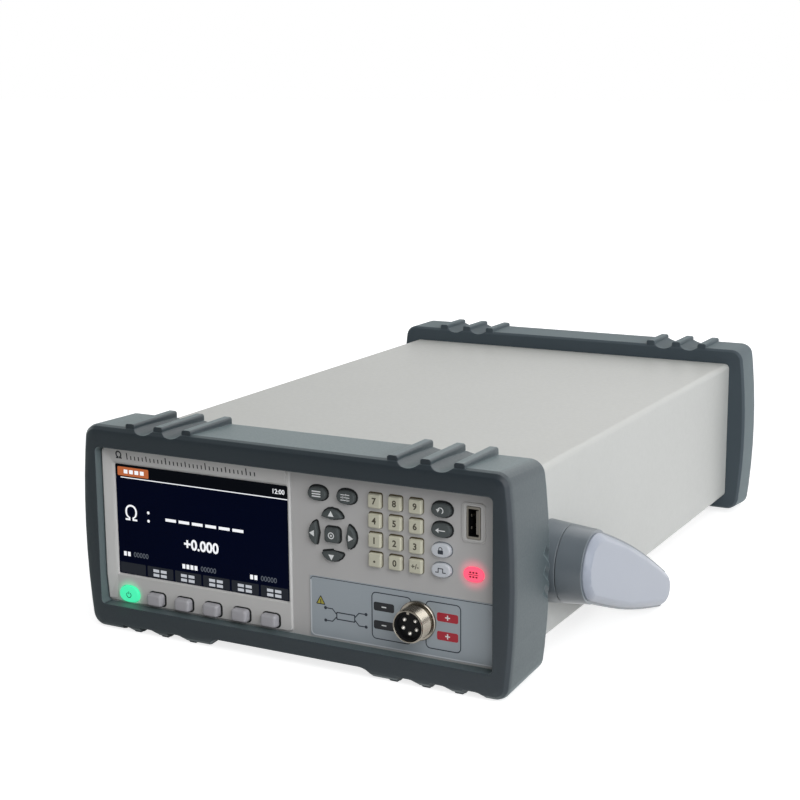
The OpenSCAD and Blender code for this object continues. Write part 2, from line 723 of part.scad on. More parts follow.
module rear_panel() {
    y = depth - panel_recess - rear_t;
    color("#c4c6c5") from_front() difference() {
        slab(y, rear_t) round_rect(case_w, case_h, case_r);
        slab(y - 1, rear_t + 2) {
            translate([inlet_x, inlet_z + FUSE_H / 2])
                square([INLET_W + 0.4, INLET_H + FUSE_H + 0.4], center = true);
            for (p = PLUG_SIZES) translate([p[0], data_z]) plug_outline(p[1] + 0.4, data_h + 0.4);
            translate([earth_x, data_z]) circle(2.1);
            for (g = [-1, 1], i = [0:vent_count - 1])
                translate([data_x - 30 + g * 35 + (i - (vent_count - 1) / 2) * 5, 20]) round_rect(2.4, 18, 1.1);
        }
    }
}

// Mains inlet with its flange, three blades in a deep mouth, and the fuse bay above
module mains_inlet() {
    y = depth - panel_recess;
    body_len = 22;
    flange = 3;
    mouth_d = 17;
    color("#17181a") from_front() translate([inlet_x, 0, inlet_z]) {
        difference() {
            union() {
                slab(y - body_len, body_len) translate([0, FUSE_H / 2])
                    square([INLET_W, INLET_H + FUSE_H], center = true);
                slab(y, flange) translate([0, FUSE_H / 2]) round_rect(INLET_W + 22, INLET_H + FUSE_H + 3, 3);
            }
            slab(y + flange - mouth_d, mouth_d + 1) mouth_outline();
            slab(y - body_len + 2, 40) translate([0, INLET_H / 2 + FUSE_H / 2 + 0.4])
                square([INLET_W - 4, FUSE_H - 1], center = true);
            for (side = [-1, 1]) slab(y - 1, flange + 2)
                translate([side * inlet_screw, FUSE_H / 2]) circle(1.7);
        }
        for (p = [[-7, -2], [0, 2], [7, -2]])
            slab(y + flange - mouth_d - 1, 11) translate(p) square([2, 4], center = true);
    }
}

module mouth_outline() {
    intersection() {
        square([24, 16.5], center = true);
        translate([0, -4]) rotate(45) square([26, 26], center = true);
    }
}

module fuse_drawer() {
    y = depth - panel_recess;
    color("#1d1f22") from_front() translate([inlet_x, 0, inlet_z]) {
        slab(y - 18, 20.4) translate([0, INLET_H / 2 + FUSE_H / 2 + 0.4])
            square([INLET_W - 4.4, FUSE_H - 1.4], center = true);
        slab(y + 2.4, 1.6) translate([0, INLET_H / 2 + FUSE_H / 2 + 0.4]) square([12, 3], center = true);
    }
}

// Outline of a trapezoid data plug, w wide and h high
module plug_outline(w, h) {
    polygon([[-w / 2, h / 2], [w / 2, h / 2], [w / 2 - 1.6, -h / 2], [-w / 2 + 1.6, -h / 2]]);
}

// Two data sockets: plated shells, their inserts and hexagonal screw posts
module data_sockets() {
    y = depth - panel_recess;
    data_back = 10;
    data_proud = 5.6;
    color("#b4b8ba") from_front() for (p = PLUG_SIZES) translate([p[0], 0, data_z]) {
        slab(y - data_back, data_back + data_proud) plug_outline(p[1], data_h);
        slab(y, 0.9) round_rect(p[1] + 14, data_h + 4, 1);
        for (side = [-1, 1]) slab(y, 5) translate([side * (p[1] / 2 + 4), 0]) circle(2.6, $fn = 6);
    }
}

module earth_terminal() {
    y = depth - panel_recess;
    stud_in = 8;
    stud_out = 6;
    color("#c9a84e") from_front() translate([earth_x, 0, data_z]) {
        slab(y - stud_in, stud_in + stud_out) circle(2);
        slab(y, 2.4) circle(4.2, $fn = 6);
        slab(y - rear_t - 2.4, 2.4) circle(4.2, $fn = 6);
    }
}

// Screws of the rear panel and of the mains inlet
REAR_SCREWS = [for (sx = [-1, 1], sz = [-1, 1]) [sx * (case_w / 2 - screw_in), sz * (case_h / 2 - screw_in)]];
module panel_screws() {
    y = depth - panel_recess;
    color("#9a9d9f") from_front() {
        for (p = REAR_SCREWS) translate([p[0], 0, p[1]]) pan_screw(y, 3, 0);
        for (side = [-1, 1]) translate([inlet_x + side * inlet_screw, 0, inlet_z + FUSE_H / 2])
            pan_screw(y + 3, 2.6, 1.7);
    }
}

// Domed screw head on the plane y with a cross recess
module pan_screw(y, r, shank) {
    difference() {
        slab(y, 1.5) circle(r);
        slab(y + 0.7, 1) { square([r * 1.2, 0.6], center = true); square([0.6, r * 1.2], center = true); }
    }
    if (shank > 0) slab(y - 3, 3) circle(shank - 0.1);
}

// Places an X-axis profile on the hinge line; side is 1 at the right and -1 at the left
module on_hinge(side, x, t) {
    translate([side > 0 ? x : -x - t, pivot_y, pivot_z]) rotate([90, 0, 90]) linear_extrude(t) children();
}

module hub_cone(side, x0, x1) {
    function hub_r(x) = boss_r - (x - case_w / 2) * hub_slope;
    translate([side * x0, pivot_y, pivot_z]) rotate([0, side * 90, 0])
        cylinder(h = x1 - x0, r1 = hub_r(x0), r2 = hub_r(x1), $fn = 96);
}

// Fixed bosses on the case walls that carry the handle
module handle_bosses() {
    color("#5a6165") from_front() for (side = [-1, 1]) difference() {
        union() {
            hub_cone(side, case_w / 2, hub_gap_x - seat);
            on_hinge(side, case_w / 2 - case_wall - 1.5, case_wall + 1.6) circle(bolt_r + 3);
        }
        on_hinge(side, case_w / 2 - 10, 40) circle(bolt_r + run_gap);
    }
}

// Shoulder bolts with their heads in the arms and their lock nuts inside the case
module pivot_bolts() {
    nut_x = case_w / 2 - case_wall - 1.5;
    head_t = 3;
    color("#8f9397") from_front() for (side = [-1, 1]) {
        on_hinge(side, nut_x - 6, arm_in + 2 - nut_x + 6) circle(bolt_r);
        on_hinge(side, arm_in + 1 + run_gap, head_t) circle(bolt_r + 3);
        on_hinge(side, nut_x - 4.5, 4.5) difference() {
            circle(bolt_r + 4, $fn = 6);
            circle(bolt_r - eps);
        }
    }
}

// Outline of the tapered arm: two discs joined by bowed edges, grown by g
module arm_outline(g) {
    turn = asin((arm_r - arm_end_r) / arm_len);
    function edge(t) = [
        arm_len * t + (arm_r + g + (arm_end_r - arm_r) * t) * sin(turn),
        (arm_r + g + (arm_end_r - arm_r) * t) * cos(turn) + arm_bow * sin(180 * t)];
    upper = [for (t = [0:0.1:1]) edge(t)];
    lower = [for (t = [1:-0.1:0]) [edge(t)[0], -edge(t)[1]]];
    rotate(-arm_tilt) {
        circle(arm_r + g, $fn = 64);
        translate([arm_len, 0]) circle(arm_end_r + g, $fn = 64);
        polygon(concat(upper, lower));
    }
}

module handle_arm(side) {
    shy = 0.6;                               // the plate's outline stays inside the turning barrel's
    color("#5a6165") from_front() difference() {
        union() {
            hub_cone(side, hub_gap_x, arm_x);
            on_hinge(side, arm_in, arm_t) arm_outline(-shy);
        }
        on_hinge(side, case_w / 2, 40) circle(bolt_r + run_gap);
        on_hinge(side, arm_in + 1, 40) circle(bolt_r + 3 + seat);
    }
}
module handle_arm_right() handle_arm(1);
module handle_arm_left() handle_arm(-1);

// Light cover on an arm's outer face, with a wide bevel round its rim
module handle_cover(side) {
    rim = 0.8;
    bevel = 3;
    color("#a9adb9") from_front() hull() {
        on_hinge(side, arm_x, rim) arm_outline(-cover_in);
        on_hinge(side, arm_x + cover_t * 0.7, rim / 4) arm_outline(-cover_in - bevel * 0.5);
        on_hinge(side, arm_x + cover_t - rim / 4, rim / 4) arm_outline(-cover_in - bevel);
    }
}
module handle_cover_right() handle_cover(1);
module handle_cover_left() handle_cover(-1);

// Flat grip bar between the arms, folded just under the case
module handle_grip() {
    color("#5a6165") from_front() translate([-arm_in, grip_y, grip_top - grip_h / 2])
        rotate([90, 0, 90]) linear_extrude(2 * arm_in) round_rect(grip_w, grip_h, grip_h / 2 - 0.6);
}

case_shell();
front_bumper();
rear_bumper();
front_panel();
screen_bezel();
screen_window();
lcd_module();
terminal_plate();
usb_port();
status_lamp();
test_socket_shell();
test_socket_insert();
test_socket_pins();
test_socket_nut();
key_board();
chassis_tray();
main_board();
transformer();
rear_panel();
mains_inlet();
fuse_drawer();
data_sockets();
earth_terminal();
panel_screws();
handle_bosses();
pivot_bolts();
handle_arm_right();
handle_arm_left();
handle_cover_right();
handle_cover_left();
handle_grip();
for (k = KEYS) key(k);
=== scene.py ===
"""Looks of a bench milliohmmeter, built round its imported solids.

Lengths are in metres in the frame of the solids: X runs to the right of the front panel, Y from
the front to the rear, Z up from the table. Where a name or a comment says millimetres, the shapes
are drawn about a middle, as on a maker's drawing.
"""

import json
import logging
import math
from dataclasses import dataclass, field, replace
from enum import Enum
from typing import Sequence

import bmesh
import bpy
from mathutils import Matrix, Vector
from mathutils.geometry import convex_hull_2d, tessellate_polygon


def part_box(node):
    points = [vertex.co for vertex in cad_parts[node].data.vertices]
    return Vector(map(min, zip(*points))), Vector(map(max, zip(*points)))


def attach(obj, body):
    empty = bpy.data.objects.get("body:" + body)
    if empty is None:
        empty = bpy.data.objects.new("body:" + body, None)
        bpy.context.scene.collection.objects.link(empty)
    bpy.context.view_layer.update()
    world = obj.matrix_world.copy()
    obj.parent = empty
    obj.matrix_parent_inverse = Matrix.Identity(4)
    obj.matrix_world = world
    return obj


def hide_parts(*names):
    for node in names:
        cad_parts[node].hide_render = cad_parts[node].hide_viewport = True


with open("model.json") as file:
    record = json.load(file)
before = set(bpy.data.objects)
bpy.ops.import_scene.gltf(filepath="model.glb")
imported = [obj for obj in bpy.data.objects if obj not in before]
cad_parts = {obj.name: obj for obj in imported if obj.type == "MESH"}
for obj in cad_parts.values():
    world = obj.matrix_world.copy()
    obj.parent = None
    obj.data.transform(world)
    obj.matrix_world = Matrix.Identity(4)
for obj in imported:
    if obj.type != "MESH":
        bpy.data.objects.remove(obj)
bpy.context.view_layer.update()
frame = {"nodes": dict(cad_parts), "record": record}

MM = 0.001
LOG = logging.getLogger("milliohmmeter")

# Rays that round an edge in the shading
BEVEL_SAMPLES = 6
# Cosine of the turn at which an edge shows its full colour
FULL_EDGE = 0.82
# Most values of a noise lie between these
NOISE_SPAN = (0.3, 0.7)
# Corners of a solid nearer than this are one, and a radius or gap below the other is none, in metres
WELD = 2e-6
NIL = 1e-7
# Edges of a turned piece sharper than this stay sharp
LATHE_CREASE_DEG = 35.0
# At a corner, a pen line is widened as if the cosine of half the turn were never below this
MITRE = 0.35
# A face looks along a direction where the cosine between them is above this
FACING = 0.99

Point = tuple[float, float]
Span = tuple[float, float]
Place = tuple[float, float, float]
Loop = list[Point]
Shape = Sequence[Loop]
Box = tuple[float, float, float, float]
Tree = bpy.types.NodeTree
Socket = bpy.types.NodeSocket


def linear(colour: str) -> tuple[float, float, float, float]:
    """Turns an sRGB hex colour into linear RGBA.

    Args:
        colour: Six hex digits, with a leading hash.

    Returns:
        Red, green, blue and a full alpha.
    """
    parts = [int(colour[i:i + 2], 16) / 255 for i in (1, 3, 5)]
    red, green, blue = [c / 12.92 if c <= 0.04045 else ((c + 0.055) / 1.055) ** 2.4 for c in parts]
    return red, green, blue, 1.0


def per_metre(spacing_mm: float) -> float:
    """Pattern scale of a texture whose features repeat every spacing_mm."""
    return 1.0 / (spacing_mm * MM)


def add_node(tree: Tree, kind: str, inputs: dict | None = None, **settings) -> bpy.types.Node:
    """Adds one shader node with its settings and links.

    Args:
        tree: Node tree that gets the node.
        kind: Blender's name of the node type.
        inputs: For each input, by name or number, a value or the output socket that feeds it.
        settings: Attributes of the node itself.

    Returns:
        The new node.
    """
    node = tree.nodes.new(kind)
    for key, value in settings.items():
        setattr(node, key, value)
    for key, value in (inputs or {}).items():
        if isinstance(value, Socket):
            tree.links.new(value, node.inputs[key])
        else:
            node.inputs[key].default_value = value
    return node


class Grain(Enum):
    """How a surface was made: the stretch of its relief along X, Y and Z, and its detail."""

    SMOOTH = ((1.0, 1.0, 1.0), 0.0)
    # Sprayed and baked, with the soft waves of orange peel
    PEEL = ((1.0, 1.0, 1.0), 1.0)
    # Moulded against a spark-eroded tool, with fine pits, drawn coarser than real ones so that they show
    SPARKED = ((1.0, 1.0, 1.0), 3.0)
    # Drawn or brushed along X, with lines that are also drawn coarser
    BRUSHED = ((0.03, 1.0, 1.0), 2.0)
    # Rolled or laminated, with faint layers across Z, a little thicker than real ones
    LAID = ((0.05, 0.05, 1.0), 2.0)


@dataclass(frozen=True)
class Halo:
    """Light of a lamp that spills on the surface round it, full within the core of its reach."""

    colour: str
    centre: Place
    reach_mm: float
    strength: float
    core: float = 0.25

    def wire(self, tree: Tree, shader: bpy.types.Node, place: Socket) -> None:
        """Feeds the spilled light to a shader.

        Args:
            tree: The material's node tree.
            shader: The surface shader.
            place: Coordinates on the object.
        """
        away = add_node(tree, "ShaderNodeVectorMath", {0: place, 1: self.centre}, operation="DISTANCE")
        glow = add_node(tree, "ShaderNodeMapRange", {
            "Value": away.outputs["Value"], "From Min": self.reach_mm * MM,
            "From Max": self.reach_mm * MM * self.core, "To Max": self.strength},
            interpolation_type="SMOOTHERSTEP")
        shader.inputs["Emission Color"].default_value = linear(self.colour)
        tree.links.new(glow.outputs["Result"], shader.inputs["Emission Strength"])


@dataclass(frozen=True)
class PaintedWallLight:
    """Painted light: a paler colour on the walls that face one way beyond a plane."""

    colour: str
    toward: Place
    beyond: float
    fade: float = 1.0 * MM
    turn: Span = (0.3, 0.65)

    def share(self, tree: Tree, place: Socket) -> Socket:
        """Works out how much of the painted light shows.

        Args:
            tree: The material's node tree.
            place: Coordinates on the object.

        Returns:
            The socket of the share.
        """
        side = add_node(tree, "ShaderNodeTexCoord").outputs["Normal"]
        facing = add_node(tree, "ShaderNodeVectorMath", {0: side, 1: self.toward}, operation="DOT_PRODUCT")
        turned = add_node(tree, "ShaderNodeMapRange", {
            "Value": facing.outputs["Value"], "From Min": self.turn[0], "From Max": self.turn[1]})
        along = add_node(tree, "ShaderNodeVectorMath", {0: place, 1: self.toward}, operation="DOT_PRODUCT")
        past = add_node(tree, "ShaderNodeMapRange", {
            "Value": along.outputs["Value"], "From Min": self.beyond, "From Max": self.beyond - self.fade})
        return add_node(tree, "ShaderNodeMath", {0: turned.outputs["Result"], 1: past.outputs["Result"]},
                        operation="MULTIPLY").outputs["Value"]


@dataclass(frozen=True)
class Finish:
    """A real material and the way its surface was made."""

    name: str
    colour: str
    roughness: float
    ior: float = 1.5
    metallic: float = 0.0
    specular: float = 0.5
    cloud: str = ""
    cloud_mm: float = 30.0
    grain: Grain = Grain.SMOOTH
    grain_mm: float = 1.5
    relief_mm: float = 0.0
    gloss_spread: float = 0.0
    edge_mm: float = 0.0
    # Colour at the rounded edges: painted highlight where it is paler than the base colour, painted shade
    # where darker
    edge_colour: str = ""
    coat: float = 0.0
    coat_roughness: float = 0.35
    sheen: float = 0.0
    sheen_colour: str = "#ffffff"
    glow: str = ""
    glow_strength: float = 0.0
    halo: Halo | None = None
    wall_light_paint: PaintedWallLight | None = None

    def material(self) -> bpy.types.Material:
        """Gives the shader of this finish and builds it at its first use.

        Returns:
            The material, shared by all pieces of this finish.
        """
        known = bpy.data.materials.get(self.name)
        if known:
            return known
        made = bpy.data.materials.new(self.name)
        made.use_nodes = True
        made.node_tree.nodes.clear()
        self._wire(made.node_tree)
        made.diffuse_color = linear(self.colour)
        return made

    def _wire(self, tree: Tree) -> None:
        """Wires the shader: clouds, painted edge light, relief, gloss and glow.

        Args:
            tree: The material's empty node tree.
        """
        place = add_node(tree, "ShaderNodeTexCoord").outputs["Object"]
        shader = add_node(tree, "ShaderNodeBsdfPrincipled", {
            "Base Color": linear(self.colour), "Roughness": self.roughness, "IOR": self.ior,
            "Metallic": self.metallic, "Specular IOR Level": self.specular, "Coat Weight": self.coat,
            "Coat Roughness": self.coat_roughness, "Sheen Weight": self.sheen,
            "Sheen Tint": linear(self.sheen_colour)})
        add_node(tree, "ShaderNodeOutputMaterial", {"Surface": shader.outputs["BSDF"]})
        if self.glow:
            shader.inputs["Emission Color"].default_value = linear(self.glow)
            shader.inputs["Emission Strength"].default_value = self.glow_strength
        normal = None
        if self.edge_mm:
            bevel = add_node(tree, "ShaderNodeBevel", {"Radius": self.edge_mm * MM}, samples=BEVEL_SAMPLES)
            normal = bevel.outputs["Normal"]
        self._colour(tree, shader, place, normal)
        if self.halo:
            self.halo.wire(tree, shader, place)
        height = self._relief(tree, place)
        if height:
            bump = {"Distance": self.relief_mm * MM, "Strength": 1.0, "Height": height}
            if normal:
                bump["Normal"] = normal
            normal = add_node(tree, "ShaderNodeBump", bump).outputs["Normal"]
            if self.gloss_spread:
                spread = add_node(tree, "ShaderNodeMapRange", {
                    "Value": height, "From Min": NOISE_SPAN[0], "From Max": NOISE_SPAN[1],
                    "To Min": self.roughness - self.gloss_spread,
                    "To Max": self.roughness + self.gloss_spread})
                tree.links.new(spread.outputs["Result"], shader.inputs["Roughness"])
        if normal:
            tree.links.new(normal, shader.inputs["Normal"])

    def _colour(self, tree: Tree, shader: bpy.types.Node, place: Socket, rounded: Socket | None) -> None:
        """Adds slow colour clouds, painted highlight and shade at the edges and painted light on a wall to
        the base colour.

        Args:
            tree: The material's node tree.
            shader: The surface shader.
            place: Coordinates on the object.
            rounded: Normal that is rounded at the edges, if there is one.
        """
        coats = []
        if self.cloud:
            cloud = add_node(tree, "ShaderNodeTexNoise", {
                "Vector": place, "Scale": per_metre(self.cloud_mm), "Detail": 3.0, "Roughness": 0.6})
            coats.append((cloud.outputs["Fac"], self.cloud))
        # Painted edge light: the rounded edges blend to the edge colour as they turn
        if rounded and self.edge_colour:
            flat = add_node(tree, "ShaderNodeNewGeometry").outputs["Normal"]
            bent = add_node(tree, "ShaderNodeVectorMath", {0: flat, 1: rounded}, operation="DOT_PRODUCT")
            painted_edge_light = add_node(tree, "ShaderNodeMapRange", {
                "Value": bent.outputs["Value"], "From Min": 1.0, "From Max": FULL_EDGE})
            coats.append((painted_edge_light.outputs["Result"], self.edge_colour))
        # Painted light on a wall that the lamps leave too dark
        if self.wall_light_paint:
            coats.append((self.wall_light_paint.share(tree, place), self.wall_light_paint.colour))
        colour = linear(self.colour)
        for share, over in coats:
            colour = add_node(tree, "ShaderNodeMix", {0: share, 6: colour, 7: linear(over)},
                              data_type="RGBA").outputs[2]
        if coats:
            tree.links.new(colour, shader.inputs["Base Color"])

    def _relief(self, tree: Tree, place: Socket) -> Socket | None:
        """Draws the height of the surface's grain.

        Args:
            tree: The material's node tree.
            place: Coordinates on the object.

        Returns:
            The height socket, or None on a smooth surface.
        """
        if self.grain is Grain.SMOOTH:
            return None
        stretch, detail = self.grain.value
        run = add_node(tree, "ShaderNodeMapping", {"Vector": place, "Scale": stretch})
        noise = add_node(tree, "ShaderNodeTexNoise", {
            "Vector": run.outputs["Vector"], "Scale": per_metre(self.grain_mm), "Detail": detail})
        return noise.outputs["Fac"]


class Catalogue:
    """All finishes of the instrument, named for the real materials."""

    # Where a finish has an edge colour, its rounded edges show painted highlight when it is paler than the
    # base and painted shade when darker
    # Powder paint on sheet steel: satin, with shallow orange peel that softens every reflection
    SLEEVE_PAINT = Finish("powder_painted_steel", "#bfc0bc", 0.42, cloud="#babbb7", cloud_mm=60,
                          grain=Grain.PEEL, grain_mm=2.4, relief_mm=0.02, gloss_spread=0.04)
    # Thermoplastic elastomer from a spark-eroded mould: dark in front light, with a soft skin
    # that turns pale where light grazes it
    BOOT = Finish("moulded_elastomer", "#1f2830", 0.5, specular=0.34, cloud="#1b242c", cloud_mm=25,
                  grain=Grain.SPARKED, grain_mm=1.1, relief_mm=0.03, gloss_spread=0.05, edge_mm=0.9,
                  edge_colour="#3a4349", coat=0.22, coat_roughness=0.38, sheen=0.54, sheen_colour="#b6cccc")
    # The same elastomer on the rear boot, with a paler base colour as painted light and less sheen, so duller
    # at a graze
    BOOT_REAR = Finish("moulded_elastomer_rear_lit", "#414b52", 0.62, specular=0.3, cloud="#3c464d", cloud_mm=25,
                       grain=Grain.SPARKED, grain_mm=1.1, relief_mm=0.03, edge_mm=0.9, edge_colour="#4b545a",
                       sheen=0.34, sheen_colour="#b6cccc")
    # Moulded ABS of the front panel: fine even grain, half matt
    PANEL_ABS = Finish("moulded_abs_panel", "#c4c3c2", 0.55, cloud="#bfbebd", cloud_mm=40,
                       grain=Grain.SPARKED, grain_mm=1.0, relief_mm=0.012, edge_mm=0.35,
                       edge_colour="#e2dfdc")
    # Moulded ABS of the raised screen frame, polished a little more, and paler than the panel's ABS as
    # painted light
    BEZEL_ABS = Finish("moulded_abs_bezel", "#d3d2d0", 0.45, cloud="#cecdcb", cloud_mm=40,
                       grain=Grain.SPARKED, grain_mm=1.0, relief_mm=0.01, edge_mm=0.7, edge_colour="#dbdad8")
    # Cover glass over a dark display: reflects little, nearly black blue
    SCREEN_GLASS = Finish("display_glass", "#010720", 0.25, specular=0.03, cloud="#020a28", cloud_mm=60)
    # Polyester film with a printed, matt lacquered face: even blue grey with a dull shine
    PLATE_FILM = Finish("printed_polyester_film", "#a9b2b8", 0.42, cloud="#a4adb4", cloud_mm=30,
                        grain=Grain.SPARKED, grain_mm=0.9, relief_mm=0.006)
    # Silicone rubber keys: matt, with soft rounded edges in painted highlight on the pale keys and painted
    # shade on the dark grey keys
    KEY_DARK = Finish("silicone_dark_grey", "#555b5b", 0.6, specular=0.35, edge_mm=0.6, edge_colour="#343939",
                      cloud="#4b5151", cloud_mm=6)
    KEY_CREAM = Finish("silicone_cream", "#d2d0bc", 0.5, edge_mm=0.4, edge_colour="#dddbc8",
                       cloud="#cccab6", cloud_mm=6)
    KEY_CLEAR = Finish("silicone_milky", "#dadde2", 0.35, edge_mm=0.5, edge_colour="#f2f4f6",
                       cloud="#cacfd6", cloud_mm=5)
    KEY_GREY = Finish("silicone_mid_grey", "#b2b1b5", 0.48, edge_mm=0.8, edge_colour="#bcbab8",
                      cloud="#acabb0", cloud_mm=8)
    # Translucent silicone and acrylic with a lamp behind: they glow to the edge
    KEY_LIT = Finish("lit_silicone_green", "#22a070", 0.5, glow="#4cf2b4", glow_strength=0.8)
    LAMP_LIT = Finish("lit_acrylic_red", "#a02a40", 0.35, glow="#ff5674", glow_strength=1.04)
    # Screen-printed inks: thin, matt, opaque
    INK_DARK = Finish("ink_charcoal", "#1e2024", 0.6)
    INK_BROWN = Finish("ink_brown", "#4a4538", 0.6)
    INK_WHITE = Finish("ink_white", "#f2f4f4", 0.55)
    INK_BLUE = Finish("ink_slate", "#2c333d", 0.6)
    # Pale grey of the painted highlight along the label plate's left and bottom edges
    EDGE_HIGHLIGHT_PAINT = Finish("painted_edge_highlight_grey", "#d4d8dc", 0.6)
    INK_BLACK = Finish("ink_black", "#15181e", 0.55)
    INK_RED = Finish("ink_signal_red", "#b52a39", 0.55)
    INK_LAMP = Finish("ink_dark_red", "#8c1228", 0.6)
    INK_GREEN = Finish("ink_dark_green", "#0c5a46", 0.6)
    INK_YELLOW = Finish("ink_signal_yellow", "#b9b049", 0.6)
    # Painted shade in the gap round a key: thin dark rings laid on the panel, shifted to where the gap's
    # shadow falls
    GAP_DARK = Finish("painted_gap_shade_dark", "#1d2021", 0.8)
    GAP_BROWN = Finish("painted_gap_shade_brown", "#564d39", 0.8)
    GAP_GREY = Finish("painted_gap_shade_grey", "#7b8186", 0.8)
    # Tin-plated sheet steel of the data sockets: half gloss, faintly streaked along the sheet
    TIN_PLATE = Finish("tin_plated_steel", "#b4b7ba", 0.28, metallic=1.0, grain=Grain.BRUSHED, grain_mm=0.6,
                       relief_mm=0.004, gloss_spread=0.06)
    # Chrome on brass: bright, with a warm trace
    CHROME = Finish("bright_chrome_plating", "#a09a8f", 0.24, metallic=1.0, edge_mm=0.06)
    # Silver plate on contacts: so pale and soft that each pin reads as a light dot
    SILVER = Finish("silver_plated_contact", "#fbf8f0", 0.5, metallic=0.85)
    # Gold flash on contacts: small warm glints
    GOLD = Finish("gold_flashed_contact", "#d9b25a", 0.22, metallic=1.0)
    # Nickel on folded sheet: grey, duller than chrome
    NICKEL = Finish("nickel_plated_sheet", "#8f8b82", 0.32, metallic=1.0)
    # Turned brass: its yellow shine is streaked by the tool
    BRASS = Finish("turned_brass", "#c7a350", 0.26, metallic=1.0, grain=Grain.BRUSHED, grain_mm=0.5,
                   relief_mm=0.004)
    # Zinc plate on steel: cloudy grey gloss
    ZINC = Finish("zinc_plated_steel", "#a3a7a8", 0.34, metallic=1.0, grain=Grain.PEEL, grain_mm=3,
                  relief_mm=0.01, gloss_spread=0.08)
    # Glass-filled nylon: black with a dry, faintly mottled skin
    NYLON = Finish("glass_filled_nylon", "#17181b", 0.5, cloud="#1e2023", cloud_mm=3, grain=Grain.SPARKED,
                   grain_mm=0.8, relief_mm=0.02, edge_mm=0.25)
    # Phenolic insulator of the test socket and the dark inside of the USB socket: black, no gloss
    PHENOLIC = Finish("black_phenolic", "#0c0d0f", 0.6, specular=0.2, cloud="#111214", cloud_mm=4)
    # Pale nylon that carries the contacts of the USB socket: warm grey, dull
    TONGUE = Finish("pale_nylon", "#97928a", 0.5, cloud="#918c84", cloud_mm=3, edge_mm=0.15)
    # Moulded polypropylene of the handle: satin, with a slightly greasy gloss
    ARM = Finish("moulded_polypropylene", "#697177", 0.3, cloud="#646c72", cloud_mm=20, grain=Grain.SPARKED,
                 grain_mm=1.1, relief_mm=0.02, edge_mm=0.6, edge_colour="#737b80")
    # Moulded ABS of the handle's covers: paler than the arms, finer grained
    COVER = Finish("moulded_abs_cover", "#9ba1ad", 0.36, cloud="#979da9", cloud_mm=35, grain=Grain.SPARKED,
                   grain_mm=1.2, relief_mm=0.008, edge_mm=0.9, edge_colour="#a0a6b1")
    # Solder mask on glass laminate: green gloss over faint layers
    LAMINATE = Finish("solder_masked_laminate", "#1f5c3c", 0.35, cloud="#246644", cloud_mm=4,
                      grain=Grain.LAID, grain_mm=0.7, relief_mm=0.02)
    # Varnished stack of core sheets: brown, with a line at each sheet
    CORE = Finish("varnished_laminated_core", "#57483a", 0.45, cloud="#6a4a30", cloud_mm=12, grain=Grain.LAID,
                  grain_mm=0.6, relief_mm=0.08, gloss_spread=0.05)
    # Paint on the aluminium rear panel: satin like the sleeve, with finer orange peel
    REAR_PAINT = Finish("painted_aluminium", "#bfc1c0", 0.42, cloud="#bbbdbc", cloud_mm=40, grain=Grain.PEEL,
                        grain_mm=2.2, relief_mm=0.015)


def rounded_rect(x: float, z: float, w: float, h: float, r: float, steps: int = 5) -> Loop:
    """Outline of a rectangle with round corners.

    Args:
        x: Middle along X.
        z: Middle along Z.
        w: Width.
        h: Height.
        r: Corner radius.
        steps: Points on each corner, less one.

    Returns:
        The outline, anticlockwise.
    """
    corners = ((1, 1, 0), (-1, 1, 90), (-1, -1, 180), (1, -1, 270))
    return [(x + sx * (w / 2 - r) + r * math.cos(math.radians(start + 90 * i / steps)),
             z + sz * (h / 2 - r) + r * math.sin(math.radians(start + 90 * i / steps)))
            for sx, sz, start in corners for i in range(steps + 1)]


def arc(x: float, z: float, r: float, start: float, end: float, steps: int = 12) -> Loop:
    """Points on an arc about (x, z), from the angle start to the angle end in degrees."""
    return [(x + r * math.cos(math.radians(start + (end - start) * i / steps)),
             z + r * math.sin(math.radians(start + (end - start) * i / steps))) for i in range(steps + 1)]


def disc(x: float, z: float, r: float, steps: int = 24) -> Loop:
    """Outline of a disc about (x, z)."""
    return arc(x, z, r, 0, 360, steps)[:-1]


def bar(x: float, z: float, w: float, h: float) -> Loop:
    """Outline of a small printed or pressed bar about (x, z), in millimetres."""
    return rounded_rect(x, z, w, h, 0.1, 2)


def stroke(points: Sequence[Point], width: float) -> Loop:
    """Outline of a line drawn with a flat pen of the given width.

    Args:
        points: Points of the line, in order.
        width: Width of the pen.

    Returns:
        The closed outline of the line.
    """
    left, right = [], []
    for i, (x, z) in enumerate(points):
        before = Vector(points[max(i - 1, 0)])
        after = Vector(points[min(i + 1, len(points) - 1)])
        here = Vector((x, z))
        into = (here - before).normalized() if i else (after - here).normalized()
        out = (after - here).normalized() if i < len(points) - 1 else into
        along = (into + out).normalized()
        reach = width / 2 / max(along.dot(into), MITRE)
        across = Vector((-along.y, along.x)) * reach
        left.append(tuple(here + across))
        right.append(tuple(here - across))
    return left + right[::-1]


def put(name: str, mesh: bpy.types.Mesh, finish: Finish, body: str) -> bpy.types.Object:
    """Adds a finished piece to the scene and lets it ride on a body.

    Args:
        name: Name of the piece.
        mesh: Its mesh, in the frame of the solids.
        finish: Its finish.
        body: Body that it moves with.

    Returns:
        The new object.
    """
    piece = bpy.data.objects.new(name, mesh)
    bpy.context.scene.collection.objects.link(piece)
    mesh.materials.append(finish.material())
    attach(piece, body)
    LOG.info("%s: %d faces on %s", name, len(mesh.polygons), body)
    return piece


def to_mesh(name: str, bm: bmesh.types.BMesh) -> bpy.types.Mesh:
    """Turns a finished bmesh into a mesh whose faces look outward.

    Args:
        name: Name of the mesh.
        bm: The bmesh, which is freed.

    Returns:
        The mesh.
    """
    bmesh.ops.recalc_face_normals(bm, faces=bm.faces)
    mesh = bpy.data.meshes.new(name)
    bm.to_mesh(mesh)
    bm.free()
    return mesh


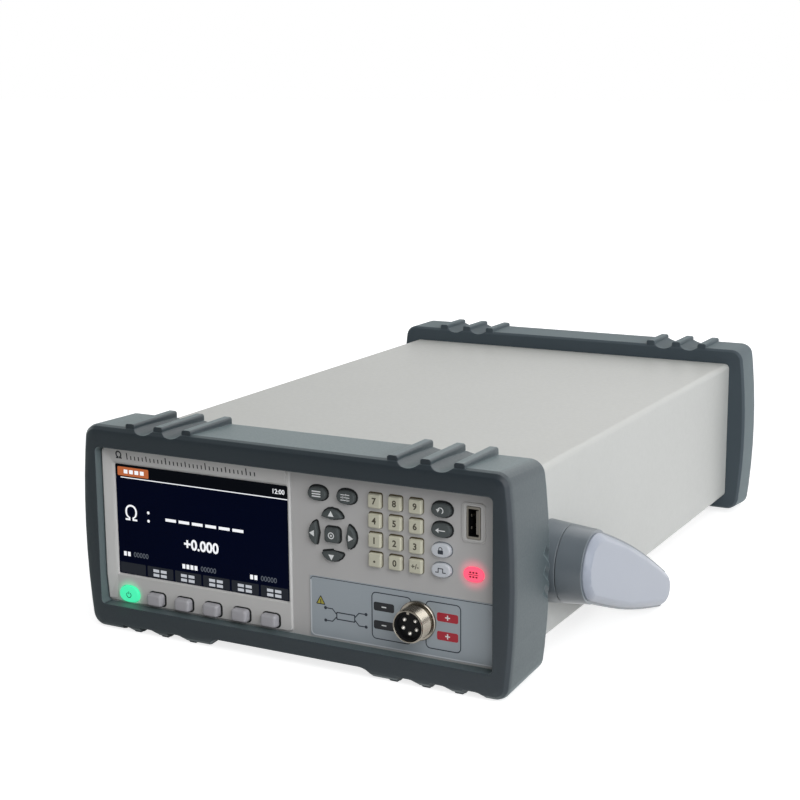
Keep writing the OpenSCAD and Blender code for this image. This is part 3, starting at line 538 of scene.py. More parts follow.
class Layer:
    """Flat shapes of one thickness on a face that looks forward or backward."""

    # Height of a capital as a share of the font's size
    CAP_SHARE = 0.72

    def __init__(self, name: str, face_y: float, thick: float) -> None:
        """Starts an empty layer.

        Args:
            name: Name of the piece that it becomes.
            face_y: Y of its visible face.
            thick: Distance from that face to its back, negative on the rear of the case.
        """
        self.name = name
        self.face_y = face_y
        self.back_y = face_y + thick
        self.bm = bmesh.new()

    def add(self, *loops: Loop) -> "Layer":
        """Adds one shape.

        Args:
            loops: Its outline and then its holes, in metres.

        Returns:
            The layer.
        """
        points = [p for loop in loops for p in loop]
        front = [self.bm.verts.new((x, self.face_y, z)) for x, z in points]
        back = [self.bm.verts.new((x, self.back_y, z)) for x, z in points]
        for a, b, c in tessellate_polygon([[Vector((x, z, 0)) for x, z in loop] for loop in loops]):
            self.bm.faces.new((front[a], front[b], front[c]))
            self.bm.faces.new((back[c], back[b], back[a]))
        start = 0
        for loop in loops:
            for i in range(len(loop)):
                j = (i + 1) % len(loop)
                self.bm.faces.new((front[start + i], front[start + j], back[start + j], back[start + i]))
            start += len(loop)
        return self

    def draw(self, spot: Point, *shapes: Shape) -> "Layer":
        """Adds shapes that are drawn in millimetres about a middle.

        Args:
            spot: X and Z of the middle, in metres.
            shapes: For each shape its outline and then its holes.

        Returns:
            The layer.
        """
        for shape in shapes:
            self.add(*([(spot[0] + u * MM, spot[1] + v * MM) for u, v in loop] for loop in shape))
        return self

    def glyphs(self, text: str, x: float, z: float, height: float, bold: float = 0.0,
               align: str = "CENTER") -> "Layer":
        """Adds digits or signs.

        Args:
            text: The signs.
            x: Place of their middle or of the side that align names.
            z: Middle along Z.
            height: Height of a digit, in metres.
            bold: How far each stroke is fattened, in metres.
            align: CENTER, LEFT or RIGHT.

        Returns:
            The layer.
        """
        curve = bpy.data.curves.new(self.name, "FONT")
        curve.body = text
        curve.size = height / self.CAP_SHARE
        curve.align_x = align
        curve.align_y = "CENTER"
        curve.offset = bold
        curve.resolution_u = 3
        curve.extrude = abs(self.back_y - self.face_y) / 2
        pen = bpy.data.objects.new(self.name, curve)
        bpy.context.scene.collection.objects.link(pen)
        mesh = bpy.data.meshes.new_from_object(pen.evaluated_get(bpy.context.evaluated_depsgraph_get()))
        upright = Matrix.Rotation(math.pi / 2, 4, "X")
        mesh.transform(Matrix.Translation((x, (self.face_y + self.back_y) / 2, z)) @ upright)
        self.bm.from_mesh(mesh)
        bpy.data.objects.remove(pen)
        bpy.data.curves.remove(curve)
        bpy.data.meshes.remove(mesh)
        return self

    def build(self, finish: Finish, body: str = "housing") -> bpy.types.Object:
        """Closes the layer and puts it in the scene.

        Args:
            finish: Its finish.
            body: Body that it rides on.

        Returns:
            The new piece.
        """
        bmesh.ops.remove_doubles(self.bm, verts=self.bm.verts, dist=NIL)
        return put(self.name, to_mesh(self.name, self.bm), finish, body)


def stack(spot: Point, *rows: tuple[str, float, float, Finish, Sequence[Shape]]) -> list[bpy.types.Object]:
    """Makes flat pieces of the housing, one behind the other about one middle.

    Args:
        spot: X and Z of the middle, in metres.
        rows: For each piece its name, the Y of its visible face, its thickness, its finish and its
            shapes in millimetres.

    Returns:
        The pieces, in the order of the rows.
    """
    return [Layer(name, face_y, thick).draw(spot, *shapes).build(finish)
            for name, face_y, thick, finish, shapes in rows]


def lathe(name: str, profile: Sequence[Point], centre: Vector, finish: Finish, body: str, steps: int = 64) -> bpy.types.Object:
    """Turns a closed profile about an axis that runs along Y.

    Args:
        name: Name of the piece.
        profile: Closed outline as (y, radius) pairs, in metres.
        centre: A point on the axis; its Y is added to the profile's.
        finish: Its finish.
        body: Body that it rides on.
        steps: Facets round the axis.

    Returns:
        The new piece.
    """
    bm = bmesh.new()
    rings = []
    for y, r in profile:
        if r < NIL:
            rings.append([bm.verts.new((centre.x, centre.y + y, centre.z))] * steps)
            continue
        rings.append([bm.verts.new((centre.x + r * math.cos(2 * math.pi * i / steps), centre.y + y,
                                    centre.z + r * math.sin(2 * math.pi * i / steps))) for i in range(steps)])
    for k in range(len(rings)):
        here, after = rings[k], rings[(k + 1) % len(rings)]
        for i in range(steps):
            j = (i + 1) % steps
            corners = list(dict.fromkeys((here[i], here[j], after[j], after[i])))
            if len(corners) > 2:
                bm.faces.new(corners)
    mesh = to_mesh(name, bm)
    mesh.shade_smooth()
    mesh.set_sharp_from_angle(angle=math.radians(LATHE_CREASE_DEG))
    return put(name, mesh, finish, body)


class Assembly:
    """A group of solids that is dressed and completed together."""

    def dress(self, finish: Finish, *nodes: str, crease_deg: float = 32.0) -> None:
        """Gives solids their finish and shades their curved faces smooth.

        Args:
            finish: The finish.
            nodes: Names of the solids.
            crease_deg: Edges sharper than this stay sharp.
        """
        for name in nodes:
            solid = frame["nodes"][name]
            mesh = solid.data
            mesh.materials.clear()
            mesh.materials.append(finish.material())
            if "custom_normal" in mesh.attributes:
                mesh.attributes.remove(mesh.attributes["custom_normal"])
            mesh.shade_smooth()
            weld = solid.modifiers.new("weld", "WELD")
            weld.merge_threshold = WELD
            split = solid.modifiers.new("crease", "EDGE_SPLIT")
            split.split_angle = math.radians(crease_deg)
            split.use_edge_sharp = False
            solid.modifiers.new("even_normals", "WEIGHTED_NORMAL").keep_sharp = True
            LOG.info("%s: dressed in %s", name, finish.name)

    def build(self) -> None:
        """Dresses the solids and makes the missing pieces."""
        raise NotImplementedError


def middle(node: str) -> Vector:
    """Middle of a solid's box."""
    low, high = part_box(node)
    return (low + high) / 2


def front_face(node: str) -> float:
    """Y of the largest plane of a solid that looks forward.

    Args:
        node: Name of the solid.

    Returns:
        Y of the plane.
    """
    solid = frame["nodes"][node]
    areas: dict[float, float] = {}
    for face in solid.data.polygons:
        if face.normal.y < -FACING:
            y = round((solid.matrix_world @ face.center).y, 5)
            areas[y] = areas.get(y, 0.0) + face.area
    return max(areas, key=areas.get)


def outline_ahead(node: str, face_y: float) -> Loop:
    """Convex outline, seen from the front, of what a solid shows ahead of a plane.

    Args:
        node: Name of the solid.
        face_y: Y of the plane.

    Returns:
        The outline.
    """
    solid = frame["nodes"][node]
    points = [solid.matrix_world @ corner.co for corner in solid.data.vertices]
    flat = [Vector((p.x, p.z)) for p in points if p.y < face_y]
    return [tuple(flat[i]) for i in convex_hull_2d(flat)]


def grown(loop: Loop, by: float, shift: Point = (0.0, 0.0)) -> Loop:
    """Moves a convex outline outward by an even margin.

    Args:
        loop: The outline.
        by: The margin.
        shift: How far the result is moved along X and Z.

    Returns:
        The larger outline.
    """
    core = sum((Vector(p) for p in loop), Vector((0, 0))) / len(loop)
    result = []
    for i, point in enumerate(loop):
        along = (Vector(loop[(i + 1) % len(loop)]) - Vector(loop[i - 1])).normalized()
        out = Vector((along.y, -along.x))
        if out.dot(Vector(point) - core) < 0:
            out = -out
        result.append(tuple(Vector(point) + out * by + Vector(shift)))
    return result


@dataclass(frozen=True)
class Softbox:
    """A square lamp with an even face."""

    name: str
    place: Place
    size: float
    watts: float
    aim: Place = (0.0, 0.0, 0.05)
    tint: str = "#ffffff"

    def hang(self) -> None:
        """Adds the lamp to the scene."""
        data = bpy.data.lights.new(self.name, "AREA")
        data.shape = "SQUARE"
        data.size = self.size
        data.energy = self.watts
        data.color = linear(self.tint)[:3]
        lamp = bpy.data.objects.new(self.name, data)
        lamp.location = self.place
        lamp.rotation_euler = (Vector(self.aim) - Vector(self.place)).to_track_quat("-Z", "Y").to_euler()
        bpy.context.scene.collection.objects.link(lamp)


@dataclass
class Studio:
    """Camera at the photograph's angle, plain soft lights and a pale floor."""

    eye: Place = (381.87 * MM, -780.47 * MM, 270.45 * MM)
    azimuth_deg: float = 28.166
    elevation_deg: float = 11.651
    roll_deg: float = -0.427
    lens_mm: float = 72.018
    sensor_mm: float = 36.0
    near: float = 10 * MM
    lamps: tuple[Softbox, ...] = (
        Softbox("softbox_key", (1.1, -1.1, 1.25), 1.4, 17.6, (0.0, -0.12, 0.05)),
        Softbox("softbox_top", (0.1, 1.05, 1.5), 1.6, 7.2, (0.0, 0.15, 0.05)),
        Softbox("softbox_left", (-1.6, 0.15, 0.6), 1.2, 5.0),
        Softbox("softbox_right", (1.45, -0.42, 0.38), 0.9, 7.6, (0.1, -0.05, 0.05), "#f2f7ff"))
    white: str = "#ffffff"
    paper: str = "#bebebe"
    # The surround: its strength on matt surfaces from front to rear, and in reflections along its way
    soft: Span = (0.16, 0.45)
    soft_from: Span = (-0.9, 0.5)
    gloss: Span = (0.12, 1.7)
    gloss_from: Span = (-0.3, 1.0)
    gloss_way: Place = (0.8, 1.0, 0.0)
    # The floor: its strength to the eye by the distance, and in reflections along its way
    floor_reach: float = 12.0
    floor_seen: Span = (0.78, 1.02)
    floor_from: Span = (0.4, 1.1)
    floor_gloss: float = 1.2
    floor_gloss_from: Span = (-0.25, 0.15)
    floor_gloss_way: Place = (0.9, 0.45, 0.0)

    def build(self) -> None:
        """Sets the colour management and makes camera, lights, world and floor."""
        bpy.context.scene.view_settings.view_transform = "Standard"
        self._camera()
        self._world()
        for lamp in self.lamps:
            lamp.hang()
        self._floor()

    def _camera(self) -> None:
        """Places the camera by its azimuth, elevation and roll."""
        az, el, roll = (math.radians(a) for a in (self.azimuth_deg, self.elevation_deg, self.roll_deg))
        look = Vector((-math.sin(az) * math.cos(el), math.cos(az) * math.cos(el), -math.sin(el)))
        right = look.cross(Vector((0, 0, 1))).normalized()
        up = right.cross(look)
        turned_right = right * math.cos(roll) + up * math.sin(roll)
        turned_up = up * math.cos(roll) - right * math.sin(roll)
        data = bpy.data.cameras.new("camera")
        data.lens = self.lens_mm
        data.sensor_width = self.sensor_mm
        data.clip_start = self.near
        camera = bpy.data.objects.new("camera", data)
        camera.matrix_world = Matrix.Translation(self.eye) @ Matrix(
            (turned_right, turned_up, -look)).transposed().to_4x4()
        bpy.context.scene.collection.objects.link(camera)
        bpy.context.scene.camera = camera

    def _world(self) -> None:
        """Makes a surround that the eye sees white, dim to the front left and bright to the rear right."""
        world = bpy.data.worlds.new("studio")
        bpy.context.scene.world = world
        world.use_nodes = True
        tree = world.node_tree
        tree.nodes.clear()
        way = add_node(tree, "ShaderNodeTexCoord").outputs["Generated"]
        depth = add_node(tree, "ShaderNodeSeparateXYZ", {0: way}).outputs["Y"]
        soft = add_node(tree, "ShaderNodeMapRange", {
            "Value": depth, "From Min": self.soft_from[0], "From Max": self.soft_from[1],
            "To Min": self.soft[0], "To Max": self.soft[1]}, interpolation_type="SMOOTHSTEP")
        toward = add_node(tree, "ShaderNodeVectorMath", {0: way, 1: self.gloss_way}, operation="DOT_PRODUCT")
        gloss = add_node(tree, "ShaderNodeMapRange", {
            "Value": toward.outputs["Value"], "From Min": self.gloss_from[0], "From Max": self.gloss_from[1],
            "To Min": self.gloss[0], "To Max": self.gloss[1]})
        level = self._by_ray(tree, soft.outputs["Result"], gloss.outputs["Result"], 1.0)
        back = add_node(tree, "ShaderNodeBackground", {"Color": linear(self.white), "Strength": level})
        add_node(tree, "ShaderNodeOutputWorld", {"Surface": back.outputs[0]})

    @staticmethod
    def _by_ray(tree: Tree, soft: float | Socket, gloss: float | Socket, seen: float | Socket) -> Socket:
        """Gives the eye, reflections and matt surfaces a strength each.

        Args:
            tree: Node tree that gets the switch.
            soft: Strength for the light on matt surfaces.
            gloss: Strength in reflections.
            seen: Strength to the eye, also through clear pieces.

        Returns:
            The socket of the strength.
        """
        path = add_node(tree, "ShaderNodeLightPath").outputs
        direct = add_node(tree, "ShaderNodeMath", {0: path["Is Camera Ray"], 1: path["Is Transmission Ray"]},
                          operation="MAXIMUM")
        shine = add_node(tree, "ShaderNodeMix", {0: path["Is Glossy Ray"], 2: soft, 3: gloss})
        return add_node(tree, "ShaderNodeMix", {
            0: direct.outputs["Value"], 2: shine.outputs[0], 3: seen}).outputs[0]

    def _floor(self) -> None:
        """Lays a wide floor that reads white and keeps the object's shadow."""
        bm = bmesh.new()
        bmesh.ops.create_grid(bm, x_segments=1, y_segments=1, size=self.floor_reach)
        mesh = bpy.data.meshes.new("floor")
        bm.to_mesh(mesh)
        bm.free()
        floor = bpy.data.objects.new("floor", mesh)
        bpy.context.scene.collection.objects.link(floor)
        made = bpy.data.materials.new("studio_paper")
        made.use_nodes = True
        tree = made.node_tree
        tree.nodes.clear()
        place = add_node(tree, "ShaderNodeTexCoord").outputs["Object"]
        away = add_node(tree, "ShaderNodeVectorMath", {0: place}, operation="LENGTH")
        seen = add_node(tree, "ShaderNodeMapRange", {
            "Value": away.outputs["Value"], "From Min": self.floor_from[0], "From Max": self.floor_from[1],
            "To Min": self.floor_seen[0], "To Max": self.floor_seen[1]})
        toward = add_node(tree, "ShaderNodeVectorMath", {0: place, 1: self.floor_gloss_way},
                          operation="DOT_PRODUCT")
        gloss = add_node(tree, "ShaderNodeMapRange", {
            "Value": toward.outputs["Value"], "From Min": self.floor_gloss_from[0],
            "From Max": self.floor_gloss_from[1], "To Max": self.floor_gloss})
        level = self._by_ray(tree, 0.0, gloss.outputs["Result"], seen.outputs["Result"])
        paper = add_node(tree, "ShaderNodeBsdfDiffuse", {"Color": linear(self.paper)})
        lit = add_node(tree, "ShaderNodeEmission", {"Color": linear(self.white), "Strength": level})
        both = add_node(tree, "ShaderNodeAddShader", {0: paper.outputs[0], 1: lit.outputs[0]})
        add_node(tree, "ShaderNodeOutputMaterial", {"Surface": both.outputs[0]})
        mesh.materials.append(made)


@dataclass
class Housing(Assembly):
    """Painted sleeve, the two end boots and what stays hidden inside."""

    boot_crease_deg: float = 28.0
    # The power key's light on the boot falls this far below the key
    spill_drop: float = 7 * MM
    spill_reach_mm: float = 11.0
    spill_strength: float = 0.07
    # Painted light on the boot's left inner wall starts beyond this X
    wall_x: float = -103.0 * MM
    hidden: dict[str, Finish] = field(default_factory=lambda: {
        "lcd_module": Catalogue.NYLON, "key_board": Catalogue.LAMINATE, "chassis_tray": Catalogue.ZINC,
        "main_board": Catalogue.LAMINATE, "transformer": Catalogue.CORE, "test_socket_nut": Catalogue.CHROME})

    def build(self) -> None:
        """Dresses sleeve, boots and inner parts."""
        self.dress(Catalogue.SLEEVE_PAINT, "case_shell")
        self.dress(Catalogue.BOOT_REAR, "rear_bumper", crease_deg=self.boot_crease_deg)
        power = middle("key_power")
        below = (power.x, power.y, power.z - self.spill_drop)
        spill = Halo("#2fbf83", below, self.spill_reach_mm, self.spill_strength)
        # Painted light on the front boot's left inner wall
        wall = PaintedWallLight("#5d696c", (1.0, 0.0, 0.0), self.wall_x)
        lit = replace(Catalogue.BOOT, name="moulded_elastomer_lit", halo=spill, wall_light_paint=wall)
        self.dress(lit, "front_bumper", crease_deg=self.boot_crease_deg)
        for node, finish in self.hidden.items():
            self.dress(finish, node)


@dataclass
class FrontPanel(Assembly):
    """Moulded panel, raised screen frame and the printed marks on them."""

    ink_thick: float = 0.03 * MM
    halo_reach_mm: float = 9.5
    power_halo: float = 0.5
    lamp_halo: float = 0.4
    # Screen frame: its flat rim and the slopes inside it, by their heights at the outer edge
    rim: float = 0.5 * MM
    rim_round: float = 2.2 * MM
    flat: float = 0.3 * MM
    dish_left: float = 1.6 * MM
    dish_top: float = 1.2 * MM
    dish_foot: float = 0.4 * MM
    dish_lip: float = 0.05 * MM
    dish_start: float = 1.4 * MM
    dish_end: float = 1.1 * MM
    # Scale on the upper slope, and the outer and inner edges of the painted highlight round the USB opening
    # as width, height and radius, in millimetres
    scale_at: Point = (4.5, -0.2)
    ohm_h: float = 3.6
    ohm_bold: float = 0.16
    tick_from: float = 5.0
    tick_pitch: float = 2.3
    tick_base: float = -1.7
    tick_w: float = 0.6
    tick_h: tuple[float, float, float] = (3.4, 2.8, 2.0)
    ticks: int = 33
    usb_rims: tuple[tuple[float, float, float], ...] = ((9.6, 16.6, 1.4), (7.1, 15.0, 0.8))

    def build(self) -> None:
        """Dresses panel and bezel, slopes the bezel, prints its scale and paints a highlight round the USB
        opening.
        """
        power, lamp = middle("key_power"), middle("status_lamp")
        power.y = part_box("screen_bezel")[0].y
        lamp.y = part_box("status_lamp")[0].y
        green = Halo("#39d690", tuple(power), self.halo_reach_mm, self.power_halo)
        red = Halo("#ff4d6d", tuple(lamp), self.halo_reach_mm, self.lamp_halo)
        self.dress(replace(Catalogue.PANEL_ABS, name="moulded_abs_panel_lit", halo=red), "front_panel")
        self.dress(replace(Catalogue.BEZEL_ABS, name="moulded_abs_bezel_lit", halo=green), "screen_bezel")
        self._dish()
        self._title_scale()
        self._usb_painted_highlight()

    def _dish(self) -> None:
        """Lays the slopes that fall from the screen frame's left and top edges toward the screen."""
        low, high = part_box("screen_bezel")
        window_low, window_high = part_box("screen_window")
        left, top = low.x + self.rim, high.z - self.rim
        inner_x, inner_z = window_low.x + self.flat, window_high.z - self.flat
        end_x = window_high.x - self.dish_end
        foot_z = low.z + self.dish_start
        rounding = arc(left + self.rim_round, top - self.rim_round, self.rim_round, 180, 90, 6)
        sections = [((left, foot_z), (inner_x, foot_z), self.dish_foot),
                    ((left, window_low.z), (inner_x, window_low.z), self.dish_left)]
        for i, spot in enumerate(rounding):
            rise = self.dish_left + i / (len(rounding) - 1) * (self.dish_top - self.dish_left)
            sections.append((spot, (inner_x, inner_z), rise))
        sections.append(((end_x, top), (end_x, inner_z), self.dish_top))
        bm = bmesh.new()
        known: dict[Place, bmesh.types.BMVert] = {}

        def corner(spot: Point, y: float) -> bmesh.types.BMVert:
            """Gives the vertex at a place, made once.

            Args:
                spot: X and Z of the place.
                y: Y of the place.

            Returns:
                The vertex.
            """
            place = (spot[0], y, spot[1])
            if place not in known:
                known[place] = bm.verts.new(place)
            return known[place]

        rings = [(corner(outer, low.y - rise), corner(inner, low.y - self.dish_lip),
                  corner(inner, low.y + 2 * self.dish_lip), corner(outer, low.y + 2 * self.dish_lip))
                 for outer, inner, rise in sections]
        for here, after in zip(rings, rings[1:]):
            for i in range(4):
                j = (i + 1) % 4
                face = list(dict.fromkeys((here[i], here[j], after[j], after[i])))
                if len(face) > 2:
                    bm.faces.new(face)
        bm.faces.new(rings[0])
        bm.faces.new(rings[-1])
        put("bezel_dish", to_mesh("bezel_dish", bm), Catalogue.BEZEL_ABS, "housing")

    def _title_scale(self) -> None:
        """Prints an ohm sign and a fine scale on the upper slope of the screen frame."""
        low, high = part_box("screen_bezel")
        window_low, window_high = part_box("screen_window")
        x, z = window_low.x + self.scale_at[0] * MM, (window_high.z + high.z) / 2 + self.scale_at[1] * MM
        layer = Layer("title_scale", low.y - self.ink_thick, self.ink_thick)
        layer.glyphs("Ω", x, z, self.ohm_h * MM, self.ohm_bold * MM)
        for i in range(self.ticks):
            tall = self.tick_h[0 if i % 10 == 0 else 1 if i % 5 == 0 else 2]
            layer.draw((x, z), [bar(self.tick_from + i * self.tick_pitch, self.tick_base + tall / 2,
                                    self.tick_w, tall)])
        inner_z, top = window_high.z - self.flat, high.z - self.rim
        for vertex in layer.bm.verts:
            share = (vertex.co.z - inner_z) / (top - inner_z)
            vertex.co.y -= self.dish_lip + share * (self.dish_top - self.dish_lip)
        layer.build(Catalogue.INK_DARK)

    def _usb_painted_highlight(self) -> None:
        """Lays a pale ring round the USB opening: a painted highlight of its raised frame."""
        centre = middle("usb_port")
        highlight_ring = Layer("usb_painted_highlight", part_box("front_panel")[0].y - self.ink_thick, self.ink_thick)
        highlight_ring.draw((centre.x, centre.z), [rounded_rect(0, 0, *rim) for rim in self.usb_rims])
        highlight_ring.build(Catalogue.BEZEL_ABS)


@dataclass
class LabelPlate(Assembly):
    """Film plate round the test socket, with painted highlight and shade along its edges, tags and wiring
    sketch.
    """

    ink_thick: float = 0.02 * MM
    # Lines of painted highlight and painted shade along the edges: distance from the film's edge, corner
    # radii and pens
    inset: float = 0.45 * MM
    pale_round: float = 2.2 * MM
    pale_pen: float = 0.6 * MM
    dark_round: float = 1.5 * MM
    dark_pen: float = 0.32 * MM
    # Tags and their frames about the socket's middle, in millimetres: low side, then high side
    tag: tuple[float, float, float] = (10.5, 4.1, 0.9)
    tag_reach: Span = (-17.3, 14.8)
    tag_rise: Span = (-5.3, 3.4)
    minus: Point = (2.4, 0.55)
    stem: Point = (0.55, 0.92)
    stem_rise: float = 0.74
    frame_span: tuple[Span, Span] = ((-23.7, -3.1), (3.8, 21.5))
    frame_h: float = 22.4
    frame_drop: float = 1.05
    frame_round: float = 2.4
    pen: float = 0.5
    # Warning sign and wiring sketch from the film's upper left corner, in millimetres
    caution_at: Point = (5.6, 11.8)
    caution_r: float = 2.6
    caution_pen: float = 0.4
    sketch_at: Point = (18.8, 17.6)
    resistor: tuple[tuple[float, float, float], ...] = ((10.0, 3.8, 0.5), (8.9, 2.7, 0.3))
    lead: tuple[Point, ...] = ((4.9, 0.7), (7.0, 3.0), (10.0, 3.0))
    lead_end: tuple[float, float, float] = (10.7, 3.0, 0.8)

    def build(self) -> None:
        """Dresses the film and prints on it."""
        self.dress(Catalogue.PLATE_FILM, "terminal_plate")
        low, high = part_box("terminal_plate")
        self.face = low.y
        self.low, self.high = low, high
        self.socket = middle("test_socket_shell")
        self._border()
        self._tags()
        self._sketch()

    def _layer(self, name: str, lift: float = 1.0) -> Layer:
        """Starts an ink layer that stands lift inks proud of the film."""
        thick = self.ink_thick * lift
        return Layer(name, self.face - thick, thick)

    def _border(self) -> None:
        """Lays a pale line of painted highlight along the left and bottom and a dark line of painted shade
        along the top.
        """
        left, right = self.low.x + self.inset, self.high.x - self.inset
        top, bottom = self.high.z - self.inset, self.low.z + self.inset
        pale_r, dark_r = self.pale_round, self.dark_round
        foot = arc(left + pale_r, bottom + pale_r, pale_r, 180, 270, 6)
        pale = stroke([(left, top - dark_r)] + foot + [(right, bottom)], self.pale_pen)
        self._layer("plate_edge_painted_highlight").add(pale).build(Catalogue.EDGE_HIGHLIGHT_PAINT)
        # Painted shade along the top edge, in the slate ink of the print
        dark = stroke(arc(left + dark_r, top - dark_r, dark_r, 175, 90, 6) + [(right, top)], self.dark_pen)
        self._layer("plate_edge_painted_shade").add(dark).build(Catalogue.INK_BLUE)

    def _tags(self) -> None:
        """Prints the black minus tags, the red plus tags and the frames round them."""
        spot = (self.socket.x, self.socket.z)
        frames, signs = self._layer("tag_frames"), self._layer("tag_signs", 2.0)
        for side, name, finish in ((0, "tags_low", Catalogue.INK_BLACK), (1, "tags_high", Catalogue.INK_RED)):
            x = self.tag_reach[side]
            tags = self._layer(name)
            for z in self.tag_rise:
                tags.draw(spot, [rounded_rect(x, z, *self.tag)])
                signs.draw(spot, [bar(x, z, *self.minus)])
                if side:
                    signs.draw(spot, *([bar(x, z + up * self.stem_rise, *self.stem)] for up in (-1, 1)))
            tags.build(finish)
            x0, x1 = self.frame_span[side]
            frames.draw(spot, [rounded_rect((x0 + x1) / 2, -self.frame_drop, x1 - x0 - 2 * pen,
                                            self.frame_h - 2 * pen, self.frame_round - pen)
                               for pen in (0.0, self.pen)])
        signs.build(Catalogue.INK_WHITE)
        frames.build(Catalogue.INK_BLUE)

    def _sketch(self) -> None:
        """Prints a warning triangle and a resistor with its four leads at the left of the socket."""
        spot = (self.low.x + self.caution_at[0] * MM, self.high.z - self.caution_at[1] * MM)
        corners = arc(0, 0, self.caution_r, 90, 450, 3)[:-1]
        self._layer("warning_field").draw(spot, [corners]).build(Catalogue.INK_YELLOW)
        sides = [[stroke(side, self.caution_pen)] for side in zip(corners, corners[1:] + corners[:1])]
        mark = self._layer("warning_mark", 2.0).draw(spot, *sides, [bar(0, 0.3, 0.5, 1.5)],
                                                     [disc(0, -0.85, 0.3, 10)])
        mark.build(Catalogue.INK_BLACK)
        spot = (self.low.x + self.sketch_at[0] * MM, self.high.z - self.sketch_at[1] * MM)
        ink = self._layer("wiring_sketch").draw(spot, [rounded_rect(0, 0, *edge) for edge in self.resistor])
        end_x, end_z, end_r = self.lead_end
        for side in (-1, 1):
            for up in (-1, 1):
                lead = [(side * x, up * z) for x, z in self.lead]
                ink.draw(spot, [stroke(lead, self.pen)], [disc(side * end_x, up * end_z, end_r, 16)])
        ink.build(Catalogue.INK_BLUE)


class Pixel(Enum):
    """Colours that the display shows."""

    WHITE = "#f4f6fa"
    DIM = "#5a6069"
    ORANGE = "#b4643c"
    BLACK = "#04060c"
    TAB = "#24272d"
    PALE = "#b9bdc4"

    def finish(self) -> Finish:
        """A lit pixel layer of this colour."""
        return Finish("display_" + self.name.lower(), "#000000", 0.4, specular=0.05, glow=self.value,
                      glow_strength=1.0)


